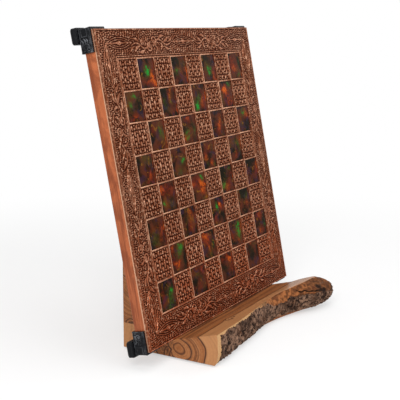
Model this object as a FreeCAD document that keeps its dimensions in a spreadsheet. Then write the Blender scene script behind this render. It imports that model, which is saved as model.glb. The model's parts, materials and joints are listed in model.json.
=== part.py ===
import FreeCAD, Part
import Sketcher
import math
import os

# A chessboard with an embossed copper face and enamel squares, leaning in the seat of a
# natural-edge wooden stand. Millimetres. Board pieces are built in the board's own frame:
# X along its lower edge, Y into its depth, Z up its face, with the origin at the middle of
# the lower front edge. Stand pieces are built with Z up from the ground. At the end the
# whole is centred over the origin: +Z up, the board's face towards -Y.

SIZES = {
    # Playing field
    "square_pitch": 40.5,
    "squares_per_side": 8,
    "ridge_width": 2.2,
    # Copper face around the field
    "border_width": 38.0,
    "plate_thickness": 4.5,
    "plate_edge_radius": 1.2,
    "rim_width": 2.2,
    "frame_band_width": 1.2,
    "frame_groove_width": 1.1,
    "frame_line_width": 1.2,
    "ground_depth": 0.8,
    # Relief squares
    "relief_depth": 1.2,
    "relief_height": 0.9,
    "rosette_radius": 5.2,
    "petal_near": 8.0,
    "petal_far": 20.5,
    "petal_half_width": 4.2,
    # Enamel squares
    "enamel_recess": 1.3,
    "enamel_thickness": 2.0,
    "enamel_corner_cut": 0.8,
    "enamel_clearance": 0.1,
    # Wooden body of the board
    "rail_depth": 15.5,
    "rail_width": 18.0,
    "rail_edge_chamfer": 1.0,
    "core_thickness": 12.0,
    "back_panel_thickness": 3.0,
    "panel_clearance": 0.2,
    # Corner feet
    "bracket_overhang": 2.7,
    "bracket_leg": 27.5,
    "bracket_front_gap": 0.3,
    "flange_thickness": 2.5,
    "flange_arm": 16.0,
    "neck_height": 1.6,
    "neck_overhang": 3.6,
    "plinth_height": 8.4,
    "plinth_overhang": 5.5,
    "plinth_inset": 15.0,
    "plinth_corner_cut": 1.8,
    "plinth_base_cut": 1.0,
    "foot_pad_margin": 2.5,
    "foot_pad_thickness": 1.5,
    # Screws that hold the feet
    "screw_along": 21.5,
    "screw_in": 7.0,
    "screw_shank_radius": 1.5,
    "screw_head_radius": 3.2,
    "screw_head_height": 1.7,
    "screw_length": 12.0,
    "screw_clearance": 0.15,
    # Pose of the board in the stand
    "lean_angle": 11.25,
    "seat_height": 26.5,
    "ramp_angle": 15.6,
    "seat_clearance": 0.3,
    # Stand
    "slab_thickness": 34.0,
    "plank_thickness": 42.0,
    "widest_level": 23.5,
    "stand_left": 146.0,
    "stand_right": 146.0,
    "stand_back": 79.0,
    "saw_allowance": 20.0,
    "shoulder_front": 32.0,
    "rest_height": 114.0,
    "rest_edge_radius": 6.0,
    "stand_pad_side": 18.0,
    "stand_pad_thickness": 2.5,
    "stand_pad_inset": 9.0,
    "stand_pad_front": 36.0,
    # Dowels between slab and rest
    "dowel_radius": 5.0,
    "dowel_length": 40.0,
    "dowel_spacing": 95.0,
    "dowel_count": 3,
    "dowel_clearance": 0.1,
}

# The slab's natural edge, seen from above, as distances along the slab from the board's middle
# and distances in front of the board's face. Each row has three places: at the ground, at the
# widest level and at the top. The edge starts past the saw cut at the left, where only its
# distances in front are given, and ends behind the rounded right end, at the right saw cut.
ROUGH_END = (62.0, 65.0, 64.0)
NATURAL_EDGE = (
    ((-140.0, 58.0), (-140.0, 64.2), (-140.0, 62.0)),
    ((-112.0, 54.5), (-112.0, 63.4), (-112.0, 61.0)),
    ((-79.0, 52.3), (-79.0, 61.2), (-79.0, 59.0)),
    ((-24.0, 47.5), (-24.0, 56.0), (-24.0, 51.0)),
    ((10.0, 44.0), (10.0, 52.0), (10.0, 45.0)),
    ((36.0, 44.5), (36.0, 50.5), (38.0, 40.0)),
    ((70.0, 49.5), (70.0, 54.0), (74.0, 34.0)),
    ((100.0, 57.0), (98.0, 66.0), (104.0, 42.0)),
    ((125.0, 63.0), (122.0, 81.0), (126.0, 50.0)),
    ((142.0, 64.0), (145.0, 89.0), (143.0, 54.0)),
    ((152.0, 62.0), (167.0, 91.0), (152.0, 64.0)),
    ((158.0, 55.0), (181.0, 84.0), (156.0, 67.0)),
    ((156.0, 45.0), (184.0, 69.0), (157.0, 59.0)),
    ((151.0, 38.0), (168.0, 47.0), (146.5, 47.0)),
)


class Dim:
    """A size with its number and the spreadsheet expression that gives it."""

    def __init__(self, value, text):
        self.value = float(value)
        self.text = text

    def __add__(self, other):
        other = as_dim(other)
        return Dim(self.value + other.value, f"({self.text} + {other.text})")

    def __sub__(self, other):
        other = as_dim(other)
        return Dim(self.value - other.value, f"({self.text} - {other.text})")

    def __mul__(self, other):
        other = as_dim(other)
        return Dim(self.value * other.value, f"({self.text} * {other.text})")

    def __truediv__(self, other):
        other = as_dim(other)
        return Dim(self.value / other.value, f"({self.text} / {other.text})")

    def __neg__(self):
        return Dim(-self.value, f"(0 - {self.text})")

    __radd__ = __add__
    __rmul__ = __mul__

    def __rsub__(self, other):
        return as_dim(other) - self


def as_dim(number):
    """Turn a plain number into a size."""
    return number if isinstance(number, Dim) else Dim(number, str(number))


def make_sheet(doc):
    """Write the driving sizes into the spreadsheet and return them as Dim values."""
    sheet = doc.addObject("Spreadsheet::Sheet", "sizes")
    for row, (alias, number) in enumerate(SIZES.items(), start=1):
        sheet.set(f"A{row}", alias)
        sheet.set(f"B{row}", str(number))
        sheet.setAlias(f"B{row}", alias)
    doc.recompute()
    return {alias: Dim(sheet.get(alias), f"sizes.{alias}") for alias in SIZES}


doc = FreeCAD.newDocument("chessboard")
S = make_sheet(doc)

ZERO = as_dim(0)
COUNT = S["squares_per_side"]
PITCH = S["square_pitch"]
FIELD_SIDE = PITCH * COUNT
BOARD_SIDE = FIELD_SIDE + S["border_width"] * 2
HALF_BOARD = BOARD_SIDE / 2
HALF_RIDGE = S["ridge_width"] / 2
BOARD_DEPTH = S["plate_thickness"] + S["rail_depth"]
SLAB_TOP = S["stand_pad_thickness"] + S["slab_thickness"]
PLANK_TOP = S["stand_pad_thickness"] + S["plank_thickness"]
REST_FACE = BOARD_DEPTH + S["seat_clearance"]
FLANGE_BACK = BOARD_DEPTH + S["flange_thickness"]
NECK_BACK = FLANGE_BACK + S["neck_height"]
PLINTH_BACK = NECK_BACK + S["plinth_height"]
BORE_RADIUS = S["screw_shank_radius"] + S["screw_clearance"]
SIDE_ANGLES = (-90, -45, 0, 45, 90)
NEAR = 0.01

LEAN = math.radians(S["lean_angle"].value)
GROUND_FRAME = FreeCAD.Placement()
BOARD_FRAME, RAMP_FRAME = (
    FreeCAD.Placement(FreeCAD.Vector(0, 0, S["seat_height"].value),
                      FreeCAD.Rotation(FreeCAD.Vector(1, 0, 0), -S[angle].value))
    for angle in ("lean_angle", "ramp_angle"))
PIECES = []


def keep(piece, label, frame):
    """Name a finished piece, put it in its frame and list it for export."""
    piece.Label = label
    piece.Placement = frame.multiply(piece.Placement)
    PIECES.append(piece)
    return piece


def bind(item, prop, size):
    """Tie a property to the spreadsheet."""
    item.setExpression(prop, size.text)


def origin_plane(body, role):
    """Return the body's own origin plane with the given role."""
    return next(part for part in body.Origin.OriginFeatures if part.Role == role)


def new_sketch(body, role, name, offset=None):
    """Start a sketch on one of the body's origin planes, moved along the plane's normal."""
    sketch = body.newObject("Sketcher::SketchObject", name)
    sketch.AttachmentSupport = [(origin_plane(body, role), "")]
    sketch.MapMode = "FlatFace"
    if offset is not None:
        bind(sketch, "AttachmentOffset.Base.z", offset)
    return sketch


def fix_point(sketch, geometry, position, across, along):
    """Hold a sketch point at its distances from the sketch origin."""
    for kind, size, axis in (("DistanceX", across, -2), ("DistanceY", along, -1)):
        if size is ZERO:
            sketch.addConstraint(Sketcher.Constraint("PointOnObject", geometry, position, axis))
            continue
        rule = Sketcher.Constraint(kind, -1, 1, geometry, position, size.value)
        index = sketch.addConstraint(rule)
        bind(sketch, f"Constraints[{index}]", size)


def add_loop(sketch, corners):
    """Draw a closed outline through corners given as pairs of sizes."""
    first = sketch.GeometryCount
    count = len(corners)
    spots = [FreeCAD.Vector(across.value, along.value, 0) for across, along in corners]
    for index in range(count):
        sketch.addGeometry(Part.LineSegment(spots[index], spots[(index + 1) % count]), False)
    for index in range(count):
        after = first + (index + 1) % count
        sketch.addConstraint(Sketcher.Constraint("Coincident", first + index, 2, after, 1))
    for index, (across, along) in enumerate(corners):
        fix_point(sketch, first + index, 1, across, along)


def add_rectangle(sketch, left, right, low, high):
    """Draw a rectangle between four sizes."""
    add_loop(sketch, ((left, low), (right, low), (right, high), (left, high)))


def add_circle(sketch, across, along, radius):
    """Draw a circle at a place given by two sizes."""
    spot = FreeCAD.Vector(across.value, along.value, 0)
    circle = Part.Circle(spot, FreeCAD.Vector(0, 0, 1), radius.value)
    geometry = sketch.addGeometry(circle, False)
    index = sketch.addConstraint(Sketcher.Constraint("Radius", geometry, radius.value))
    bind(sketch, f"Constraints[{index}]", radius)
    fix_point(sketch, geometry, 3, across, along)


def add_feature(body, kind, name, sketch, length, backwards=False):
    """Pad or pocket a sketch over a length, forwards or backwards."""
    feature = body.newObject(f"PartDesign::{kind}", name)
    feature.Profile = sketch
    bind(feature, "Length", length)
    feature.Reversed = backwards
    return feature


def grow_into_depth(body, name, sketch, length):
    """Pad a face sketch away from the viewer, into the board."""
    return add_feature(body, "Pad", name, sketch, length, backwards=True)


def repeat_over_field(body, name, feature, sketch):
    """Repeat a two-square feature over the whole field, two squares at a time."""
    pattern = body.newObject("PartDesign::LinearPattern", name)
    pattern.Originals = [feature]
    pattern.Direction = (sketch, ["H_Axis"])
    pattern.Direction2 = (sketch, ["V_Axis"])
    reach = FIELD_SIDE - PITCH * 2
    for suffix in ("", "2"):
        bind(pattern, f"Length{suffix}", reach)
        bind(pattern, f"Occurrences{suffix}", COUNT / 2)
    body.Tip = pattern
    return pattern


def dress_edges(body, kind, name, size, chosen):
    """Fillet or chamfer the edges of the body's tip that the test picks."""
    doc.recompute()
    base = body.Tip
    names = [f"Edge{i}" for i, edge in enumerate(base.Shape.Edges, start=1) if chosen(edge)]
    feature = body.newObject(f"PartDesign::{kind}", name)
    feature.Base = (base, names)
    bind(feature, "Radius" if kind == "Fillet" else "Size", size)
    return feature


def lies_at(edge, axis, place):
    """Say whether a whole edge lies at one place along an axis."""
    low = getattr(edge.BoundBox, f"{axis}Min")
    high = getattr(edge.BoundBox, f"{axis}Max")
    return abs(low - place) < NEAR and abs(high - place) < NEAR


def square_corner(file_index, rank_index):
    """Return the lower left corner of a chess square, on the centre lines of the ridges."""
    across = S["border_width"] + PITCH * file_index - HALF_BOARD
    along = S["border_width"] + PITCH * rank_index
    return across, along


def add_square_opening(sketch, file_index, rank_index, gap):
    """Draw one chess square, smaller than its pitch by a gap on each side."""
    across, along = square_corner(file_index, rank_index)
    far = PITCH - gap
    add_rectangle(sketch, across + gap, across + far, along + gap, along + far)


def add_rosette(sketch, file_index, rank_index):
    """Draw an eight-sided floret and four pointed corner leaves in one relief square."""
    across, along = square_corner(file_index, rank_index)
    middle_x = across + PITCH / 2
    middle_z = along + PITCH / 2
    sides = 8
    floret = []
    for step in range(sides):
        angle = 2 * math.pi * (step + 0.5) / sides
        floret.append((middle_x + S["rosette_radius"] * round(math.cos(angle), 6),
                       middle_z + S["rosette_radius"] * round(math.sin(angle), 6)))
    add_loop(sketch, floret)
    diagonal = round(math.sqrt(0.5), 6)
    waist = (S["petal_near"] + S["petal_far"]) / 2
    for sign_x in (-1, 1):
        for sign_z in (-1, 1):
            leaf = []
            for out, side in ((S["petal_near"], ZERO), (waist, S["petal_half_width"]),
                              (S["petal_far"], ZERO), (waist, -S["petal_half_width"])):
                leaf.append((middle_x + (out + side) * (sign_x * diagonal),
                             middle_z + (out - side) * (sign_z * diagonal)))
            add_loop(sketch, leaf)


def make_face_plate():
    """The embossed copper sheet: border, ridges, sunk relief squares and enamel pockets."""
    body = doc.addObject("PartDesign::Body", "face_plate")
    outline = new_sketch(body, "XZ_Plane", "plate_outline")
    add_rectangle(outline, -HALF_BOARD, HALF_BOARD, ZERO, BOARD_SIDE)
    grow_into_depth(body, "plate", outline, S["plate_thickness"])
    side = BOARD_SIDE.value
    dress_edges(body, "Fillet", "softened_front_edge", S["plate_edge_radius"],
                lambda edge: lies_at(edge, "Y", 0.0) and abs(edge.Length - side) < NEAR)

    ground = new_sketch(body, "XZ_Plane", "border_ground_outline")
    add_frame(ground, S["rim_width"], frame_line_outside())
    add_feature(body, "Pocket", "border_ground", ground, S["ground_depth"])

    groove = new_sketch(body, "XZ_Plane", "frame_groove_outline")
    band = S["border_width"] - S["frame_band_width"]
    add_frame(groove, band - S["frame_groove_width"], band)
    add_feature(body, "Pocket", "frame_groove", groove, S["ground_depth"])

    relief = new_sketch(body, "XZ_Plane", "relief_square_outline")
    add_square_opening(relief, 1, 0, HALF_RIDGE)
    add_square_opening(relief, 0, 1, HALF_RIDGE)
    sunk = add_feature(body, "Pocket", "relief_square", relief, S["relief_depth"])
    repeat_over_field(body, "relief_squares", sunk, relief)

    pockets = new_sketch(body, "XZ_Plane", "enamel_pocket_outline")
    add_square_opening(pockets, 0, 0, HALF_RIDGE)
    add_square_opening(pockets, 1, 1, HALF_RIDGE)
    pocket = add_feature(body, "Pocket", "enamel_pocket", pockets,
                         S["enamel_recess"] + S["enamel_thickness"])
    repeat_over_field(body, "enamel_pockets", pocket, pockets)

    ornament = new_sketch(body, "XZ_Plane", "rosette_outline", -S["relief_depth"])
    add_rosette(ornament, 1, 0)
    add_rosette(ornament, 0, 1)
    rosette = add_feature(body, "Pad", "rosette", ornament, S["relief_height"])
    repeat_over_field(body, "rosettes", rosette, ornament)
    keep(body, "copper_face_plate", BOARD_FRAME)


def frame_line_outside():
    """How far inside the plate's edge the outer frame line starts."""
    inner = S["frame_band_width"] + S["frame_groove_width"] + S["frame_line_width"]
    return S["border_width"] - inner


def add_frame(sketch, outer, inner):
    """Draw a square ring between two distances inside the plate's edge."""
    for inset in (outer, inner):
        add_rectangle(sketch, inset - HALF_BOARD, HALF_BOARD - inset, inset, BOARD_SIDE - inset)


def make_enamel_squares():
    """One fired enamel panel in each dark square, named as chess players name it."""
    gap = HALF_RIDGE + S["enamel_clearance"]
    count = int(COUNT.value)
    for file_index in range(count):
        for rank_index in range(count):
            if (file_index + rank_index) % 2 == 0:
                label = f"enamel_square_{chr(ord('a') + file_index)}{rank_index + 1}"
                body = doc.addObject("PartDesign::Body", label)
                sketch = new_sketch(body, "XZ_Plane", f"{label}_outline", -S["enamel_recess"])
                add_square_opening(sketch, file_index, rank_index, gap)
                grow_into_depth(body, f"{label}_panel", sketch, S["enamel_thickness"])
                dress_edges(body, "Chamfer", f"{label}_corners", S["enamel_corner_cut"],
                            lambda edge: edge.BoundBox.YLength > S["enamel_thickness"].value / 2)
                keep(body, label, BOARD_FRAME)


def turned(quarter_turns):
    """Return the placement that turns a piece about the middle of the board's face."""
    middle = FreeCAD.Vector(0, 0, HALF_BOARD.value)
    turn = FreeCAD.Rotation(FreeCAD.Vector(0, 1, 0), 90.0 * quarter_turns)
    return BOARD_FRAME.multiply(FreeCAD.Placement(FreeCAD.Vector(0, 0, 0), turn, middle))


def make_rails():
    """Four mitred wooden rails behind the copper plate."""
    names = ("board_rail_bottom", "board_rail_left", "board_rail_top", "board_rail_right")
    back = BOARD_DEPTH.value
    for quarter, label in enumerate(names):
        body = doc.addObject("PartDesign::Body", label)
        mitred = new_sketch(body, "XZ_Plane", f"{label}_outline", -S["plate_thickness"])
        inner = HALF_BOARD - S["rail_width"]
        add_loop(mitred, ((-HALF_BOARD, ZERO), (HALF_BOARD, ZERO),
                          (inner, S["rail_width"]), (-inner, S["rail_width"])))
        grow_into_depth(body, f"{label}_bar", mitred, S["rail_depth"])
        dress_edges(body, "Chamfer", f"{label}_eased_edge", S["rail_edge_chamfer"],
                    lambda edge: lies_at(edge, "Y", back) and lies_at(edge, "Z", 0.0))
        bore = new_sketch(body, "XZ_Plane", f"{label}_bore_outline", -BOARD_DEPTH)
        add_circle(bore, S["screw_along"] - HALF_BOARD, S["screw_in"], BORE_RADIUS)
        depth = S["screw_length"] - S["flange_thickness"] + S["screw_clearance"]
        add_feature(body, "Pocket", f"{label}_bore", bore, depth, backwards=True)
        keep(body, label, turned(quarter))


def make_panels():
    """The core that backs the copper plate and the thin panel that closes the back."""
    inset = S["rail_width"] + S["panel_clearance"]
    layers = (
        ("board_core_panel", S["plate_thickness"], S["core_thickness"]),
        ("board_back_panel", S["plate_thickness"] + S["core_thickness"],
         S["back_panel_thickness"]),
    )
    for label, start, thickness in layers:
        body = doc.addObject("PartDesign::Body", label)
        sketch = new_sketch(body, "XZ_Plane", f"{label}_outline", -start)
        add_rectangle(sketch, inset - HALF_BOARD, HALF_BOARD - inset, inset, BOARD_SIDE - inset)
        grow_into_depth(body, f"{label}_sheet", sketch, thickness)
        keep(body, label, BOARD_FRAME)


def add_corner_square(sketch, overhang, inset):
    """Draw a square over the lower left corner of the board."""
    add_rectangle(sketch, -HALF_BOARD - overhang, inset - HALF_BOARD, -overhang, inset)


def make_corner_foot(label, quarter):
    """A two-tier foot: a bracket that hugs the corner, a neck and a wider plinth."""
    body = doc.addObject("PartDesign::Body", label)
    edge = -HALF_BOARD
    out = -S["bracket_overhang"]
    leg = S["bracket_leg"]
    arm = S["flange_arm"]
    start = S["plate_thickness"] + S["bracket_front_gap"]

    hug = new_sketch(body, "XZ_Plane", f"{label}_bracket_outline", -start)
    add_loop(hug, ((edge + out, out), (edge + leg, out), (edge + leg, ZERO),
                   (edge, ZERO), (edge, leg), (edge + out, leg)))
    grow_into_depth(body, f"{label}_bracket", hug, FLANGE_BACK - start)

    flange = new_sketch(body, "XZ_Plane", f"{label}_flange_outline", -BOARD_DEPTH)
    add_loop(flange, ((edge + out, out), (edge + leg, out), (edge + leg, arm),
                      (edge + arm, arm), (edge + arm, leg), (edge + out, leg)))
    grow_into_depth(body, f"{label}_flange", flange, S["flange_thickness"])

    hole = new_sketch(body, "XZ_Plane", f"{label}_hole_outline", -BOARD_DEPTH)
    add_circle(hole, edge + S["screw_along"], S["screw_in"], BORE_RADIUS)
    add_feature(body, "Pocket", f"{label}_hole", hole, S["flange_thickness"])
    rim_length = 2 * math.pi * BORE_RADIUS.value
    flange_back = FLANGE_BACK.value
    dress_edges(body, "Chamfer", f"{label}_countersink",
                S["screw_head_radius"] - S["screw_shank_radius"],
                lambda rim: lies_at(rim, "Y", flange_back)
                and abs(rim.Length - rim_length) < NEAR)

    neck = new_sketch(body, "XZ_Plane", f"{label}_neck_outline", -FLANGE_BACK)
    recess = S["plinth_overhang"] - S["neck_overhang"]
    add_corner_square(neck, S["neck_overhang"], S["plinth_inset"] - recess)
    grow_into_depth(body, f"{label}_neck", neck, S["neck_height"])

    plinth = new_sketch(body, "XZ_Plane", f"{label}_plinth_outline", -NECK_BACK)
    add_corner_square(plinth, S["plinth_overhang"], S["plinth_inset"])
    grow_into_depth(body, f"{label}_plinth", plinth, S["plinth_height"])
    neck_back = NECK_BACK.value
    height = S["plinth_height"].value
    dress_edges(body, "Chamfer", f"{label}_plinth_corners", S["plinth_corner_cut"],
                lambda rim: abs(rim.BoundBox.YMin - neck_back) < NEAR
                and abs(rim.BoundBox.YLength - height) < NEAR)
    plinth_back = PLINTH_BACK.value
    dress_edges(body, "Chamfer", f"{label}_plinth_base", S["plinth_base_cut"],
                lambda rim: lies_at(rim, "Y", plinth_back))
    keep(body, label, turned(quarter))


def make_foot_pad(label, quarter):
    """A square of felt under the plinth of a foot."""
    pad = doc.addObject("Part::Box", label)
    side = S["plinth_inset"] + S["plinth_overhang"] - S["foot_pad_margin"] * 2
    for prop, size in (("Length", side), ("Width", S["foot_pad_thickness"]), ("Height", side)):
        bind(pad, prop, size)
    outside = S["foot_pad_margin"] - S["plinth_overhang"]
    spot = FreeCAD.Vector((outside - HALF_BOARD).value, PLINTH_BACK.value, outside.value)
    pad.Placement = FreeCAD.Placement(spot, FreeCAD.Rotation())
    keep(pad, label, turned(quarter))


def screw_solid():
    """A countersunk wood screw along +Z, its head flat at the origin and its tip above."""
    head = S["screw_head_radius"].value
    shank = S["screw_shank_radius"].value
    cone = S["screw_head_height"].value
    length = S["screw_length"].value
    profile = [FreeCAD.Vector(0, 0, 0), FreeCAD.Vector(head, 0, 0),
               FreeCAD.Vector(shank, 0, cone), FreeCAD.Vector(shank, 0, length - 2 * shank),
               FreeCAD.Vector(0, 0, length), FreeCAD.Vector(0, 0, 0)]
    face = Part.Face(Part.makePolygon(profile))
    return face.revolve(FreeCAD.Vector(0, 0, 0), FreeCAD.Vector(0, 0, 1), 360)


def make_foot_screws():
    """One screw through each foot's flange into the rail under it."""
    spot = FreeCAD.Vector((S["screw_along"] - HALF_BOARD).value, FLANGE_BACK.value,
                          S["screw_in"].value)
    seated = FreeCAD.Placement(spot, FreeCAD.Rotation(FreeCAD.Vector(1, 0, 0), 90))
    screws = []
    for quarter in range(4):
        screw = screw_solid()
        screw.Placement = turned(quarter).multiply(seated)
        screws.append(screw)
    group = doc.addObject("Part::Feature", "foot_screws")
    group.Shape = Part.makeCompound(screws)
    keep(group, "foot_screws", GROUND_FRAME)


def smooth_edge(points):
    """A smooth curve through points in order."""
    curve = Part.BSplineCurve()
    curve.interpolate(points)
    return curve.toShape()


def natural_edge_points(angle):
    """The natural edge at one angle of its rounded side, and its height there.

    The side is two quarter ellipses, below and above the widest level, at -90 and 90 degrees
    at the ground and at the top."""
    shoulder = (S["stand_right"].value, S["shoulder_front"].value)
    rough_end = -(S["stand_left"] + S["saw_allowance"]).value
    start = tuple((rough_end, front) for front in ROUGH_END)
    rows = (start, *NATURAL_EDGE, (shoulder, shoulder, shoulder))
    low = S["stand_pad_thickness"]
    widest = (low + S["widest_level"]).value
    limit, level = (PLANK_TOP.value, 2) if angle > 0 else (low.value, 0)
    lean_in = 1 - math.cos(math.radians(angle))
    height = widest + (limit - widest) * abs(math.sin(math.radians(angle)))
    points = []
    for row in rows:
        along, front = (wide + (end - wide) * lean_in for wide, end in zip(row[1], row[level]))
        points.append(FreeCAD.Vector(along, -front, height))
    return points


def slab_outline(angle):
    """The outline of the rough plank at one angle of its side: natural edge, straight back."""
    edge = natural_edge_points(angle)
    back = S["stand_back"].value
    near = FreeCAD.Vector(edge[0].x, back, edge[0].z)
    far = FreeCAD.Vector(edge[-1].x, back, edge[0].z)
    return Part.Wire([smooth_edge(edge), Part.makeLine(edge[-1], far),
                      Part.makeLine(far, near), Part.makeLine(near, edge[0])])


def make_slab():
    """The natural-edge slab: sawn ends, seat, ramp in front, step behind it and dowel bores."""
    outlines = [slab_outline(angle) for angle in SIDE_ANGLES]
    plank = doc.addObject("Part::Feature", "natural_plank")
    plank.Shape = Part.makeLoft(outlines, True, True)

    saw_space = doc.addObject("Part::Box", "kept_length")
    bind(saw_space, "Length", S["stand_left"] + BOARD_SIDE)
    bind(saw_space, "Width", BOARD_SIDE * 2)
    bind(saw_space, "Height", BOARD_SIDE)
    corner = FreeCAD.Vector(-S["stand_left"].value, -BOARD_SIDE.value, 0)
    saw_space.Placement = FreeCAD.Placement(corner, FreeCAD.Rotation())
    sawn = doc.addObject("Part::Common", "sawn_plank")
    sawn.Base = plank
    sawn.Tool = saw_space

    shaped = sawn
    for label, frame, front, width, bottom in (
            ("seat", BOARD_FRAME, Dim(0, "0"), REST_FACE, 0),
            ("ramp", RAMP_FRAME, -BOARD_SIDE, BOARD_SIDE, 0),
            ("ledge", GROUND_FRAME, Dim(0, "0"), BOARD_SIDE, SLAB_TOP.value)):
        space = doc.addObject("Part::Box", label + "_space")
        bind(space, "Length", BOARD_SIDE * 2)
        bind(space, "Width", width)
        bind(space, "Height", BOARD_SIDE)
        corner = FreeCAD.Vector(-BOARD_SIDE.value, front.value, bottom)
        space.Placement = frame.multiply(FreeCAD.Placement(corner, FreeCAD.Rotation()))
        cut = doc.addObject("Part::Cut", label + "_cut")
        cut.Base = shaped
        cut.Tool = space
        shaped = cut

    bores = doc.addObject("Part::Feature", "slab_bores")
    radius = (S["dowel_radius"] + S["dowel_clearance"]).value
    depth = (S["dowel_length"] / 2 + S["dowel_clearance"]).value
    tools = [Part.makeCylinder(radius, depth, spot - FreeCAD.Vector(0, 0, depth))
             for spot in dowel_spots()]
    bores.Shape = Part.makeCompound(tools)
    slab = doc.addObject("Part::Cut", "base_slab")
    slab.Base = shaped
    slab.Tool = bores
    keep(slab, "stand_base_slab", GROUND_FRAME)


def rest_front_at(height):
    """Where the leaning front of the rest stands at a height above the ground."""
    slope = Dim(math.tan(LEAN), "tan(sizes.lean_angle * 1 deg)")
    over = Dim(1 / math.cos(LEAN), "(1 / cos(sizes.lean_angle * 1 deg))")
    return REST_FACE * over + (height - S["seat_height"]) * slope


def dowel_spots():
    """Where the dowels cross the joint between slab and rest."""
    count = int(S["dowel_count"].value)
    middle = (rest_front_at(SLAB_TOP).value + S["stand_back"].value) / 2
    first = -S["dowel_spacing"].value * (count - 1) / 2
    return [FreeCAD.Vector(first + S["dowel_spacing"].value * index, middle, SLAB_TOP.value)
            for index in range(count)]


def make_rest():
    """The upright block that the board's back leans towards, glued on top of the slab."""
    body = doc.addObject("PartDesign::Body", "back_rest")
    top = SLAB_TOP + S["rest_height"]
    profile = new_sketch(body, "YZ_Plane", "rest_profile", -S["stand_left"])
    add_loop(profile, ((rest_front_at(SLAB_TOP), SLAB_TOP), (S["stand_back"], SLAB_TOP),
                       (S["stand_back"], top), (rest_front_at(top), top)))
    length = S["stand_left"] + S["stand_right"]
    add_feature(body, "Pad", "rest_block", profile, length)
    high = top.value
    dress_edges(body, "Fillet", "rest_top_edges", S["rest_edge_radius"],
                lambda edge: lies_at(edge, "Z", high) and edge.BoundBox.XLength > 1.0)
    bores = new_sketch(body, "XY_Plane", "rest_bore_outline", SLAB_TOP)
    middle = (rest_front_at(SLAB_TOP) + S["stand_back"]) / 2
    count = int(S["dowel_count"].value)
    for index in range(count):
        place = S["dowel_spacing"] * (index - (count - 1) / 2)
        add_circle(bores, place, middle, S["dowel_radius"] + S["dowel_clearance"])
    depth = S["dowel_length"] / 2 + S["dowel_clearance"]
    add_feature(body, "Pocket", "rest_bores", bores, depth, backwards=True)
    keep(body, "stand_back_rest", GROUND_FRAME)


def make_dowels():
    """The hidden dowels that join slab and rest."""
    length = S["dowel_length"].value
    drop = FreeCAD.Vector(0, 0, length / 2)
    dowels = [Part.makeCylinder(S["dowel_radius"].value, length, spot - drop)
              for spot in dowel_spots()]
    group = doc.addObject("Part::Feature", "rest_dowels")
    group.Shape = Part.makeCompound(dowels)
    keep(group, "rest_dowels", GROUND_FRAME)


def make_stand_pads():
    """Four rubber pads that lift the slab off the ground."""
    inset = S["stand_pad_inset"]
    side = S["stand_pad_side"]
    left = inset - S["stand_left"]
    right = S["stand_right"] - inset - side
    front = -S["stand_pad_front"]
    back = S["stand_back"] - inset - side
    spots = {
        "stand_pad_front_left": (left, front),
        "stand_pad_front_right": (right, front),
        "stand_pad_rear_left": (left, back),
        "stand_pad_rear_right": (right, back),
    }
    for label, (across, deep) in spots.items():
        pad = doc.addObject("Part::Box", label)
        for prop, size in (("Length", side), ("Width", side),
                           ("Height", S["stand_pad_thickness"])):
            bind(pad, prop, size)
        spot = FreeCAD.Vector(across.value, deep.value, 0)
        pad.Placement = FreeCAD.Placement(spot, FreeCAD.Rotation())
        keep(pad, label, GROUND_FRAME)


def centre_over_origin():
    """Move every piece so that the whole stands centred over the origin."""
    whole = FreeCAD.BoundBox()
    for piece in PIECES:
        whole.add(piece.Shape.optimalBoundingBox(False, False))
    shift = FreeCAD.Placement(FreeCAD.Vector(-whole.Center.x, -whole.Center.y, 0),
                              FreeCAD.Rotation())
    for piece in PIECES:
        piece.Placement = shift.multiply(piece.Placement)


def check_document():
    """Stop if any object failed or any piece is not a sound solid."""
    for item in doc.Objects:
        if "Invalid" in item.State or "Error" in item.State:
            raise RuntimeError(f"{item.Name} did not recompute: {item.State}")
    for piece in PIECES:
        if piece.Shape.isNull() or not piece.Shape.isValid():
            raise RuntimeError(f"{piece.Label} is not a sound shape")


def export_pieces():
    """Write each piece to its own file."""
    os.makedirs("parts", exist_ok=True)
    for piece in PIECES:
        piece.Shape.exportStep(f"parts/{piece.Label}.step")
        print(f"{piece.Label}: {len(piece.Shape.Solids)} solid, {piece.Shape.Volume:.0f} mm3")


CORNERS = ("bottom_left", "top_left", "top_right", "bottom_right")

make_face_plate()
make_enamel_squares()
make_rails()
make_panels()
for quarter_turns, corner_name in enumerate(CORNERS):
    make_corner_foot(f"corner_foot_{corner_name}", quarter_turns)
    make_foot_pad(f"foot_pad_{corner_name}", quarter_turns)
make_foot_screws()
make_slab()
make_rest()
make_dowels()
make_stand_pads()
doc.recompute()
centre_over_origin()
doc.recompute()
check_document()
export_pieces()
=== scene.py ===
"""Finished look of an enamel chessboard on its natural-edge wooden stand.

Lengths on the board are in millimetres, and those of the stand in metres."""

import functools
import json
import math

import bpy
import numpy as np
from bpy.props import FloatProperty, FloatVectorProperty, PointerProperty
from mathutils import Euler, Matrix, Vector


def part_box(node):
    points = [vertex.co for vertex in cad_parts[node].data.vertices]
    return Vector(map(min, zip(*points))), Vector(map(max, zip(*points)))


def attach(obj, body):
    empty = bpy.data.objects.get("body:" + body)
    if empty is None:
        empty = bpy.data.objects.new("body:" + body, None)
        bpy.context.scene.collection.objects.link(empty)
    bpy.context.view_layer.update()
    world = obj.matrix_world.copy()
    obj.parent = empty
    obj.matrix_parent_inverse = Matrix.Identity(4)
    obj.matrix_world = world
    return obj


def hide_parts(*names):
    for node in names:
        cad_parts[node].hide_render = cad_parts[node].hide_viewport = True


bl_info = {
    "name": "Enamel Chessboard",
    "version": (1, 0, 0),
    "blender": (4, 5, 0),
    "location": "View3D > Sidebar > Chessboard",
    "description": "Builds a copper and enamel chessboard on a natural-edge wooden stand",
    "category": "Add Mesh",
}

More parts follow.
